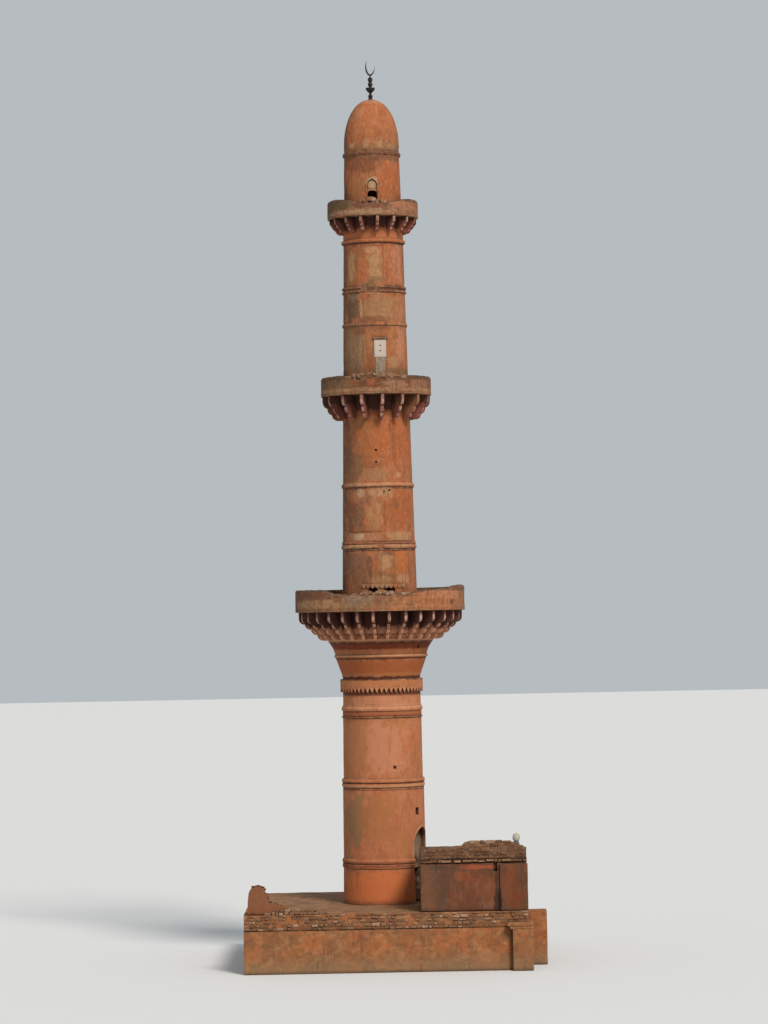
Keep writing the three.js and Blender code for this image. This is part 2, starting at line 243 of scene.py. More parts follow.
def curved(profile, step):
    """A smooth line through the profile's points, no coarser than step."""
    profile = [np.asarray(point, float) for point in profile]
    padded = [2 * profile[0] - profile[1], *profile, 2 * profile[-1] - profile[-2]]
    line = []
    for a, b, c, d in zip(padded, padded[1:], padded[2:], padded[3:]):
        count = max(1, math.ceil(np.linalg.norm(c - b) / step))
        bend = 2 * a - 5 * b + 4 * c - d
        twist = 3 * b - a - 3 * c + d
        for i in range(count):
            t = i / count
            line.append(0.5 * (2 * b + (c - a) * t + bend * t**2 + twist * t**3))
    return [*line, profile[-1]]


def real_line(profile):
    """A profile of (radius, height) in real metres, scaled to the model."""
    return [(radius * METRE, height * METRE) for radius, height in profile]


def around(azimuth, radius, height):
    """The point at an azimuth, in the units of radius and height."""
    angle = math.radians(azimuth)
    return np.array([radius * math.sin(angle), -radius * math.cos(angle), height])


def radius_of(points):
    """Distance of each point from the tower's axis."""
    return np.hypot(points[:, 0], points[:, 1])


def azimuth_of(points):
    """Azimuth of each point in degrees."""
    return np.degrees(np.arctan2(points[:, 0], -points[:, 1]))


def turned(section, facets=FACETS):
    """Points and faces of a closed section of (radius, height) turned round the axis."""
    section = np.asarray(section, float)
    angle = np.arange(facets) * (2 * math.pi / facets)
    radius = section[:, 0][:, None]
    height = np.repeat(section[:, 1][:, None], facets, axis=1)
    points = np.stack([radius * np.sin(angle), -radius * np.cos(angle), height], axis=2)
    count = len(section)
    faces = []
    for i in range(count):
        upper = (i + 1) % count
        for j in range(facets):
            k = (j + 1) % facets
            faces.append((i * facets + j, i * facets + k, upper * facets + k, upper * facets + j))
    return points.reshape(-1, 3), faces


def push_out(points, amount):
    """Moves points along their own radius by amounts in metres."""
    points = np.array(points, float)
    share = 1 + np.asarray(amount) / np.maximum(radius_of(points), 1e-6)
    points[:, 0] *= share
    points[:, 1] *= share
    return points


def plaster_relief(points, depth):
    """Uneven trowelled plaster with shallow fallen patches, as a radial offset in metres."""
    waves = 0.004 * rough(points, 0.9, 11) + 0.0015 * rough(points, 0.16, 12)
    fallen = eased(rough(points * [1, 1, 0.6], 0.8, 13, 4), 0.28, 0.36)
    return depth * (waves - 0.007 * fallen)


def worn_ring(outer, room, depth, chips=0.0):
    """An outer line with relief and chips, turned round a plain room (its radius in real metres)."""
    room *= METRE
    foot = outer[0][1]
    head = outer[-1][1]
    points, faces = turned([(room, foot), *outer, *spaced((room, head), (room, foot), 0.4)])
    amount = plaster_relief(points, depth)
    if chips:
        amount -= chips * eased(rough(points, 0.22, 21), 0.2, 0.6)
    outside = radius_of(points) > room + 1e-4
    return push_out(points, np.where(outside, amount, 0)), faces


def turned_piece(name, node, outer, room, finish, depth=1.0, chips=0.0, cutters=()):
    """A turned course in place of one CAD node."""
    return mesh_piece(name, worn_ring(outer, room, depth, chips), finish, (node,), cutters=cutters)


def rectangle(left, right, foot, head):
    """Outline of an upright opening, as (across, height)."""
    return [(left, foot), (right, foot), (right, head), (left, head)]


def arch_line(width, sill, spring, apex):
    """Outline of an opening with a two-centred pointed head, as (across, height)."""
    steps = 7
    half = width / 2
    rise = apex - spring
    radius = (half * half + rise * rise) / (2 * half)
    right = []
    for i in range(steps):
        angle = math.asin(min(1, rise / radius)) * i / (steps - 1)
        right.append((half - radius + radius * math.cos(angle), spring + radius * math.sin(angle)))
    right[-1] = (0.0, apex)
    left = [(-x, z) for x, z in reversed(right[:-1])]
    return [(-half, sill), (half, sill), *right, *left]


def wall_axes(azimuth):
    """Unit vectors across the wall and out of it at an azimuth."""
    angle = math.radians(azimuth)
    across = np.array([math.cos(angle), math.sin(angle), 0.0])
    out = np.array([math.sin(angle), -math.cos(angle), 0.0])
    return across, out


def prism(outline, inner, outer, azimuth):
    """A radial prism whose outline is (across, height), real metres."""
    across, out = wall_axes(azimuth)
    up = np.array([0.0, 0.0, 1.0])
    loops = []
    for reach in (inner, outer):
        loops.append([(across * x + out * reach + up * z) * METRE for x, z in outline])
    return tube(loops)


def cutter(outline, inner, outer, azimuth):
    """A radial prism that a piece is carved with."""
    return new_object("cutter", *prism(outline, inner, outer, azimuth))


def putlog_hole(azimuth, height, radius, width):
    """A small square hole left by the builders' scaffold, up to 0.14 m deep in the real wall."""
    half = width / 2
    outline = rectangle(-half, half, height - half, height + half)
    return cutter(outline, radius - 0.14, radius + 0.5, azimuth)


# Shader building.

def feed(tree, socket, value):
    """Links a node's output to a socket, or gives the socket a plain value."""
    if isinstance(value, bpy.types.NodeSocket):
        tree.links.new(value, socket)
    else:
        socket.default_value = value


def add(tree, kind, inputs=None, **settings):
    """A node with its settings, and values or links for its inputs."""
    made = tree.nodes.new(kind)
    for name, value in settings.items():
        setattr(made, name, value)
    for name, value in (inputs or {}).items():
        feed(tree, made.inputs[name], value)
    return made


def calc(tree, operation, a, b=0.0, c=0.0, clamp=False):
    """The result of one operation on links or plain numbers."""
    inputs = {0: a, 1: b, 2: c}
    return add(tree, "ShaderNodeMath", inputs, operation=operation, use_clamp=clamp).outputs[0]


def inverse(tree, value):
    return calc(tree, "SUBTRACT", 1.0, value)


def eased_value(tree, value, low, high):
    """0 below low, 1 above high, with a smooth step between."""
    inputs = {"Value": value, "From Min": low, "From Max": high}
    return add(tree, "ShaderNodeMapRange", inputs, interpolation_type="SMOOTHSTEP").outputs["Result"]


def group(name, inputs, outputs):
    """An empty shader group with named float inputs and named outputs."""
    tree = bpy.data.node_groups.new(name, "ShaderNodeTree")
    for label, value in inputs.items():
        socket = tree.interface.new_socket(label, in_out="INPUT", socket_type="NodeSocketFloat")
        socket.default_value = value
    for label in outputs:
        tree.interface.new_socket(label, in_out="OUTPUT", socket_type="NodeSocketFloat")
    entry = tree.nodes.new("NodeGroupInput").outputs
    leave = tree.nodes.new("NodeGroupOutput").inputs
    return tree, entry, leave


def effect(tree, name, inputs=None):
    """The outputs of a shared effect placed in a material."""
    return add(tree, "ShaderNodeGroup", inputs, node_tree=bpy.data.node_groups[name]).outputs


def object_place(tree):
    return tree.nodes.new("ShaderNodeTexCoord").outputs["Object"]


def face_normal(tree):
    return tree.nodes.new("ShaderNodeNewGeometry").outputs["Normal"]


def split(tree, vector):
    """X, Y and Z of a vector."""
    made = add(tree, "ShaderNodeSeparateXYZ", {0: vector})
    return [made.outputs[axis] for axis in "XYZ"]


def vector_calc(tree, operation, a, b=(0.0, 0.0, 0.0)):
    """The outputs of one operation on vectors."""
    return add(tree, "ShaderNodeVectorMath", {0: a, 1: b}, operation=operation).outputs


def stretched(tree, across, along):
    """Object coordinates divided by a width across the wall and a length up it."""
    x, y, z = split(tree, object_place(tree))
    scaled = {
        "X": calc(tree, "DIVIDE", x, across),
        "Y": calc(tree, "DIVIDE", y, across),
        "Z": calc(tree, "DIVIDE", z, along),
    }
    return add(tree, "ShaderNodeCombineXYZ", scaled).outputs[0]


def noise_value(tree, vector, detail, roughness, distortion=0.0):
    """Noise from 0 to 1, already stretched to its size by its vector."""
    inputs = {"Vector": vector, "Scale": 1.0, "Detail": detail, "Roughness": roughness}
    inputs["Distortion"] = distortion
    return add(tree, "ShaderNodeTexNoise", inputs).outputs["Fac"]


def build_tower_place():
    """Azimuth in degrees; height, radius and X in real metres."""
    tree, _, leave = group("tower_place", {}, ["Azimuth", "Height", "Radius", "Across"])
    x, y, z = split(tree, object_place(tree))
    angle = calc(tree, "ARCTAN2", x, calc(tree, "MULTIPLY", y, -1.0))
    square = calc(tree, "ADD", calc(tree, "MULTIPLY", x, x), calc(tree, "MULTIPLY", y, y))
    feed(tree, leave["Azimuth"], calc(tree, "MULTIPLY", angle, 180 / math.pi))
    feed(tree, leave["Height"], calc(tree, "DIVIDE", z, METRE))
    feed(tree, leave["Across"], calc(tree, "DIVIDE", x, METRE))
    feed(tree, leave["Radius"], calc(tree, "DIVIDE", calc(tree, "SQRT", square), METRE))


def build_mottle():
    """Cloudy variation: Size is its largest feature in metres, Contrast softens its edges."""
    inputs = {"Size": 1.0, "Tallness": 1.0, "Contrast": 0.2, "Level": 0.5}
    tree, entry, leave = group("mottle", inputs, ["Mask"])
    tall = calc(tree, "MULTIPLY", entry["Size"], entry["Tallness"])
    value = noise_value(tree, stretched(tree, entry["Size"], tall), 6.0, 0.65, 0.4)
    low = calc(tree, "SUBTRACT", entry["Level"], entry["Contrast"])
    high = calc(tree, "ADD", entry["Level"], entry["Contrast"])
    feed(tree, leave["Mask"], eased_value(tree, value, low, high))


def build_blotch():
    """One blotch round a centre, in the units of Across and Up, its edges broken by Rag."""
    inputs = {"Across": 0.0, "Up": 0.0, "Rag": 0.0, "Centre": 0.0, "Level": 0.0}
    inputs |= {"Half Width": 20.0, "Half Height": 2.0}
    tree, entry, leave = group("blotch", inputs, ["Mask"])
    cubes = []
    for value, middle, half in (("Across", "Centre", "Half Width"), ("Up", "Level", "Half Height")):
        away = calc(tree, "ABSOLUTE", calc(tree, "SUBTRACT", entry[value], entry[middle]))
        cubes.append(calc(tree, "POWER", calc(tree, "DIVIDE", away, entry[half]), 3.0))
    reach = calc(tree, "POWER", calc(tree, "ADD", *cubes), 1 / 3)
    reach = calc(tree, "ADD", reach, entry["Rag"])
    feed(tree, leave["Mask"], inverse(tree, eased_value(tree, reach, 0.75, 1.2)))


def build_rain_streaks():
    """Thin stains that run down the wall, gathered in places."""
    tree, entry, leave = group("rain_streaks", {"Width": 0.08, "Length": 2.5, "Level": 0.55}, ["Mask"])
    fine = noise_value(tree, stretched(tree, entry["Width"], entry["Length"]), 4.0, 0.7)
    gathered = stretched(tree, calc(tree, "MULTIPLY", entry["Width"], 7.0), entry["Length"])
    broad = noise_value(tree, gathered, 2.0, 0.5)
    both = calc(tree, "ADD", calc(tree, "MULTIPLY", fine, 0.6), calc(tree, "MULTIPLY", broad, 0.4))
    high = calc(tree, "ADD", entry["Level"], 0.12)
    feed(tree, leave["Mask"], eased_value(tree, both, entry["Level"], high))


def build_worn_edges():
    """Pale wear on raised edges, broken up along their length."""
    tree, entry, leave = group("worn_edges", {"Sharp": 0.52, "Breakup": 0.3}, ["Mask"])
    point = tree.nodes.new("ShaderNodeNewGeometry").outputs["Pointiness"]
    edge = eased_value(tree, point, entry["Sharp"], calc(tree, "ADD", entry["Sharp"], 0.04))
    broken = noise_value(tree, stretched(tree, 0.3, 0.3), 4.0, 0.7)
    keep = eased_value(tree, broken, entry["Breakup"], calc(tree, "ADD", entry["Breakup"], 0.25))
    feed(tree, leave["Mask"], calc(tree, "MULTIPLY", edge, keep))


def build_crevice_shade():
    """Where little light and rain reach, for painted shade and grime: Reach is how far a ledge shelters, in
    metres.
    """
    tree, entry, leave = group("crevice_shade", {"Reach": 0.3, "Strength": 1.0}, ["Mask"])
    shelter = add(tree, "ShaderNodeAmbientOcclusion", {"Distance": entry["Reach"]}, samples=8)
    closed = inverse(tree, shelter.outputs["AO"])
    feed(tree, leave["Mask"], calc(tree, "MULTIPLY", closed, entry["Strength"], clamp=True))


def build_facing():
    """How far a face looks outward from the tower, and up."""
    tree, _, leave = group("facing_out_and_up", {}, ["Outward", "Upward"])
    flat = vector_calc(tree, "MULTIPLY", object_place(tree), (1.0, 1.0, 0.0))[0]
    radial = vector_calc(tree, "NORMALIZE", flat)[0]
    outward = vector_calc(tree, "DOT_PRODUCT", face_normal(tree), radial)["Value"]
    rise = split(tree, face_normal(tree))[2]
    feed(tree, leave["Outward"], calc(tree, "MAXIMUM", outward, 0.0))
    feed(tree, leave["Upward"], calc(tree, "MAXIMUM", rise, 0.0))


def build_masonry_joints():
    """Joints between the bricks round the tower (Round 1) or along a straight wall (Round 0)."""
    inputs = {"Round": 1.0, "Stone Width": 0.22, "Stone Height": 0.08, "Joint": 0.012}
    tree, entry, leave = group("masonry_joints", inputs, ["Joint"])
    wall_radius = 2.75 * METRE
    azimuth = effect(tree, "tower_place")["Azimuth"]
    around_wall = calc(tree, "MULTIPLY", azimuth, math.radians(1) * wall_radius)
    place = object_place(tree)
    x, y, z = split(tree, place)
    sideways = calc(tree, "GREATER_THAN", calc(tree, "ABSOLUTE", split(tree, face_normal(tree))[0]), 0.6)
    along_wall = calc(tree, "MULTIPLY_ADD", sideways, calc(tree, "SUBTRACT", y, x), x)
    beyond = calc(tree, "SUBTRACT", around_wall, along_wall)
    across = calc(tree, "MULTIPLY_ADD", entry["Round"], beyond, along_wall)
    level = add(tree, "ShaderNodeCombineXYZ", {"X": across, "Y": z}).outputs[0]
    noise = add(tree, "ShaderNodeTexNoise", {"Vector": place, "Scale": 3.0, "Detail": 2.0})
    wobble = vector_calc(tree, "MULTIPLY", noise.outputs["Color"], (0.03, 0.03, 0.0))[0]
    bricks = {
        "Vector": vector_calc(tree, "ADD", level, wobble)[0],
        "Scale": 1.0,
        "Mortar Size": entry["Joint"],
        "Mortar Smooth": 0.4,
        "Brick Width": entry["Stone Width"],
        "Row Height": entry["Stone Height"],
    }
    feed(tree, leave["Joint"], add(tree, "ShaderNodeTexBrick", bricks).outputs["Fac"])


def build_rough_face():
    """Height of a rough surface: trowel waves, grains and small pits."""
    tree, entry, leave = group("rough_face", {"Size": 0.12, "Pits": 0.5}, ["Height"])
    waves = noise_value(tree, stretched(tree, entry["Size"], entry["Size"]), 6.0, 0.7)
    fine = calc(tree, "MULTIPLY", entry["Size"], 0.3)
    pits = add(tree, "ShaderNodeTexVoronoi", {"Vector": stretched(tree, fine, fine), "Scale": 1.0})
    pit = inverse(tree, eased_value(tree, pits.outputs["Distance"], 0.05, 0.3))
    pitted = calc(tree, "SUBTRACT", waves, calc(tree, "MULTIPLY", pit, entry["Pits"]))
    feed(tree, leave["Height"], pitted)


for build in (
    build_tower_place,
    build_mottle,
    build_blotch,
    build_rain_streaks,
    build_worn_edges,
    build_crevice_shade,
    build_facing,
    build_masonry_joints,
    build_rough_face,
):
    build()


# Finishes, as linear colours.

TERRACOTTA = (0.40, 0.13, 0.051)
ROSE = (0.47, 0.20, 0.11)
ORANGE = (0.42, 0.13, 0.045)
OCHRE = (0.36, 0.14, 0.052)
DEEP_RED = (0.25, 0.066, 0.025)
MAROON = (0.15, 0.048, 0.03)
TAN = (0.40, 0.215, 0.10)
PEACH = (0.50, 0.28, 0.155)
LIME = (0.50, 0.34, 0.21)
OLIVE = (0.175, 0.105, 0.048)
BROWN = (0.13, 0.055, 0.028)
GREY = (0.25, 0.205, 0.15)
# Painted shadow: dark lines under ledges and rolls, and painted shade in corners.
SHADOW_LINE = (0.075, 0.024, 0.012)
# Near black: painted shade in doorways, hollows and on the side away from the sun, and soot stains.
SHADE_AND_SOOT = (0.022, 0.014, 0.010)


# Half width in degrees of a blotch that goes all the way round the tower.
ALL_ROUND = 400


def ring(tint, amount, height, half_height):
    """A blotch that goes all the way round the tower."""
    return tint, amount, 0, height, ALL_ROUND, half_height


def opaque(colour):
    """A plain colour with its alpha, or a link as it is."""
    return (*colour, 1) if isinstance(colour, tuple) else colour


def laid_over(tree, below, colour, mask, amount=1.0):
    """A colour laid over another through a mask."""
    share = calc(tree, "MULTIPLY", mask, amount, clamp=True)
    inputs = {0: share, 6: opaque(below), 7: opaque(colour)}
    return add(tree, "ShaderNodeMix", inputs, data_type="RGBA").outputs[2]


def mottled(tree, size, tallness, level, contrast):
    """Mask of cloudy patches, size in metres."""
    inputs = {"Size": size, "Tallness": tallness, "Level": level, "Contrast": contrast}
    return effect(tree, "mottle", inputs)["Mask"]


def clouded(tree, colour, *layers):
    """Cloudy layers on a colour: tint, amount, size in metres, tallness, level and contrast."""
    for tint, amount, *cloud in layers:
        colour = laid_over(tree, colour, tint, mottled(tree, *cloud), amount)
    return colour


def blotched(tree, colour, blotches, flat=False):
    """Ragged blotches: tint, amount, place across, height, half width and half height.

    Across is degrees round the tower, or real metres along a flat front.
    """
    place = effect(tree, "tower_place")
    rag = noise_value(tree, stretched(tree, 0.26, 0.4), 7.0, 0.72)
    where = {
        "Across": place["Across"] if flat else place["Azimuth"],
        "Up": place["Height"],
        "Rag": calc(tree, "MULTIPLY_ADD", rag, 3.0, -1.5),
    }
    for tint, amount, centre, height, half_width, half_height in blotches:
        sizes = {"Centre": centre, "Level": height, "Half Width": half_width, "Half Height": half_height}
        colour = laid_over(tree, colour, tint, effect(tree, "blotch", where | sizes)["Mask"], amount)
    return colour


def weathered(tree, colour, streak, wear, shade_and_grime):
    """Rain stains, pale worn edges, and painted shade with grime in the corners and under ledges.

    streak is width, length, tint and amount; wear is tint and amount; shade_and_grime is reach, tint and
    amount.
    """
    width, length, *stain = streak
    reach, *corner_tint = shade_and_grime
    streaks = effect(tree, "rain_streaks", {"Width": width, "Length": length, "Level": 0.55})["Mask"]
    edges = effect(tree, "worn_edges", {"Sharp": 0.515, "Breakup": 0.4})["Mask"]
    corners = effect(tree, "crevice_shade", {"Reach": reach, "Strength": 1.45})["Mask"]
    for mask, (tint, amount) in ((streaks, stain), (edges, wear), (corners, corner_tint)):
        colour = laid_over(tree, colour, tint, mask, amount)
    return colour


def bare_joints(tree, courses, patches):
    """Joints that show where the plaster has thinned.

    courses is round or straight (1 or 0), a brick's width and height, and the joint; patches is
    size, tallness, level and contrast.
    """
    inputs = dict(zip(("Round", "Stone Width", "Stone Height", "Joint"), courses))
    joints = effect(tree, "masonry_joints", inputs)["Joint"]
    return calc(tree, "MULTIPLY", joints, mottled(tree, *patches))


def start_material(name):
    """A new material with its node tree and its shader."""
    made = bpy.data.materials.new(name)
    made.use_nodes = True
    return made, made.node_tree, made.node_tree.nodes["Principled BSDF"]


def bumped(tree, shader, height, distance, below=None):
    """Gives the shader a bump, over any other bump below it."""
    inputs = {"Height": height, "Distance": distance, "Strength": 0.7}
    if below:
        inputs["Normal"] = below
    normal = add(tree, "ShaderNodeBump", inputs).outputs[0]
    feed(tree, shader.inputs["Normal"], normal)
    return normal


def surfaced(tree, shader, colour, roughness, relief, joints=None):
    """Joins a colour and a rough relief, (size, pits, depth), to the shader, over any joints."""
    feed(tree, shader.inputs["Base Color"], colour)
    feed(tree, shader.inputs["Specular IOR Level"], 0.22)
    feed(tree, shader.inputs["Roughness"], roughness)
    size, pits, depth = relief
    below = bumped(tree, shader, calc(tree, "MULTIPLY", joints, -1.0), 0.009) if joints else None
    face = effect(tree, "rough_face", {"Size": size, "Pits": pits})["Height"]
    bumped(tree, shader, face, depth, below)


def tower_plaster():
    """Storey 1: rosy terracotta plaster with ochre stains, painted shadow lines under the ledges."""
    made, tree, shader = start_material("tower_plaster")
    colour = clouded(
        tree,
        TERRACOTTA,
        (ROSE, 0.55, 2.0, 1.2, 0.52, 0.12),
        (OCHRE, 0.7, 0.8, 1.5, 0.52, 0.09),
        (DEEP_RED, 0.35, 0.45, 1.8, 0.55, 0.08),
        (ROSE, 0.3, 0.2, 1.4, 0.56, 0.08),
        (DEEP_RED, 0.3, 0.09, 1.5, 0.52, 0.15),
    )
    mossy = (0.2, 0.122, 0.056)
    dull_ochre = (0.32, 0.12, 0.042)
    sunlit_orange = (0.52, 0.142, 0.043)
    flare_red = (0.3, 0.076, 0.02)
    flare_top_shade = (0.13, 0.022, 0.008)
    russet = (0.3, 0.105, 0.04)
    ledge_shadow = (0.08, 0.02, 0.01)
    blotches = (
        (ROSE, 0.55, 2, 14.6, 26, 1.9),
        (ROSE, 0.55, 6, 17.95, 50, 0.6),
        (OCHRE, 0.65, -42, 15.0, 16, 1.9),
        (mossy, 0.72, -44, 9.8, 20, 1.8),
        (dull_ochre, 0.6, -12, 9.9, 28, 1.5),
        (OCHRE, 0.5, 24, 8.4, 18, 0.9),
        # Painted light on the tower's foot beside the annexe.
        (sunlit_orange, 0.8, 15, 5.2, 90, 1.15),
        # The flare: its own deep red, deepened in part as painted shade under balcony 1, and painted shade at
        # its top.
        ring(flare_red, 0.8, 20.3, 0.62),
        ring(OCHRE, 0.55, 19.86, 0.12),
        ring(flare_top_shade, 0.9, 21.86, 0.26),
        ring(russet, 0.6, 21.42, 0.2),
        # Painted highlight, partly pale wear, along the flare's roll.
        ring(PEACH, 0.6, 21.2, 0.07),
        ring(SHADOW_LINE, 0.75, 20.98, 0.07),
        # Painted shadow line over the toothed band.
        ring(ledge_shadow, 0.95, 19.6, 0.14),
        ring(OCHRE, 0.6, 19.3, 0.16),
        ring(SHADOW_LINE, 0.92, 22.1, 0.1),
        ring(MAROON, 0.4, 22.45, 0.12),
        # Painted highlights, partly pale wear, on the cornice and on the top of string course 3.
        ring(PEACH, 0.65, 22.27, 0.07),
        ring(ROSE, 0.8, 17.62, 0.11),
        ring(DEEP_RED, 0.6, 17.14, 0.18),
        ring(SHADOW_LINE, 0.7, 16.9, 0.07),
        ring(SHADOW_LINE, 0.7, 12.36, 0.06),
        # Painted highlight, partly pale wear, on string course 2.
        ring(PEACH, 0.5, 12.13, 0.07),
        ring(SHADOW_LINE, 0.65, 11.92, 0.07),
        ring(SHADOW_LINE, 0.6, 6.62, 0.07),
        ring(MAROON, 0.5, 6.82, 0.13),
    )
    colour = blotched(tree, colour, blotches)
    place = effect(tree, "tower_place")
    height, radius = place["Height"], place["Radius"]
    # Painted shadow of the teeth on the wall behind them, fading out 0.5 to 0.66 m below their foot.
    teeth_shadow = (0.1, 0.028, 0.013)
    drop = calc(tree, "SUBTRACT", TEETH_FOOT, height)
    close = inverse(tree, eased_value(tree, drop, 0.5, 0.66))
    near = calc(tree, "MULTIPLY", close, calc(tree, "GREATER_THAN", drop, 0.0))
    teeth_shadow_mask = calc(tree, "MULTIPLY", calc(tree, "LESS_THAN", radius, TEETH_SHADOW_RADIUS), near)
    colour = laid_over(tree, colour, teeth_shadow, teeth_shadow_mask, 0.9)
    bare_lime = (0.15, 0.115, 0.075)
    in_portal = calc(tree, "LESS_THAN", height, PORTAL_APEX + 0.2)
    inside = calc(tree, "LESS_THAN", radius, calc(tree, "MULTIPLY_ADD", in_portal, 0.18, 2.6))
    colour = laid_over(tree, colour, bare_lime, inside, 0.85)
    # Painted shade: the inside faces below about 7 m, in the doorway, are laid near black.
    doorway = inverse(tree, eased_value(tree, height, 6.9, 7.8))
    colour = laid_over(tree, colour, SHADE_AND_SOOT, calc(tree, "MULTIPLY", inside, doorway), 0.9)
    colour = weathered(tree, colour, (0.07, 2.2, DEEP_RED, 0.5), (PEACH, 0.45), (0.22, SHADOW_LINE, 0.9))
    joints = bare_joints(tree, (1.0, 0.2, 0.07, 0.008), (1.3, 1.0, 0.56, 0.05))
    surfaced(tree, shader, colour, 0.88, (0.1, 0.4, 0.006), joints)
    return made


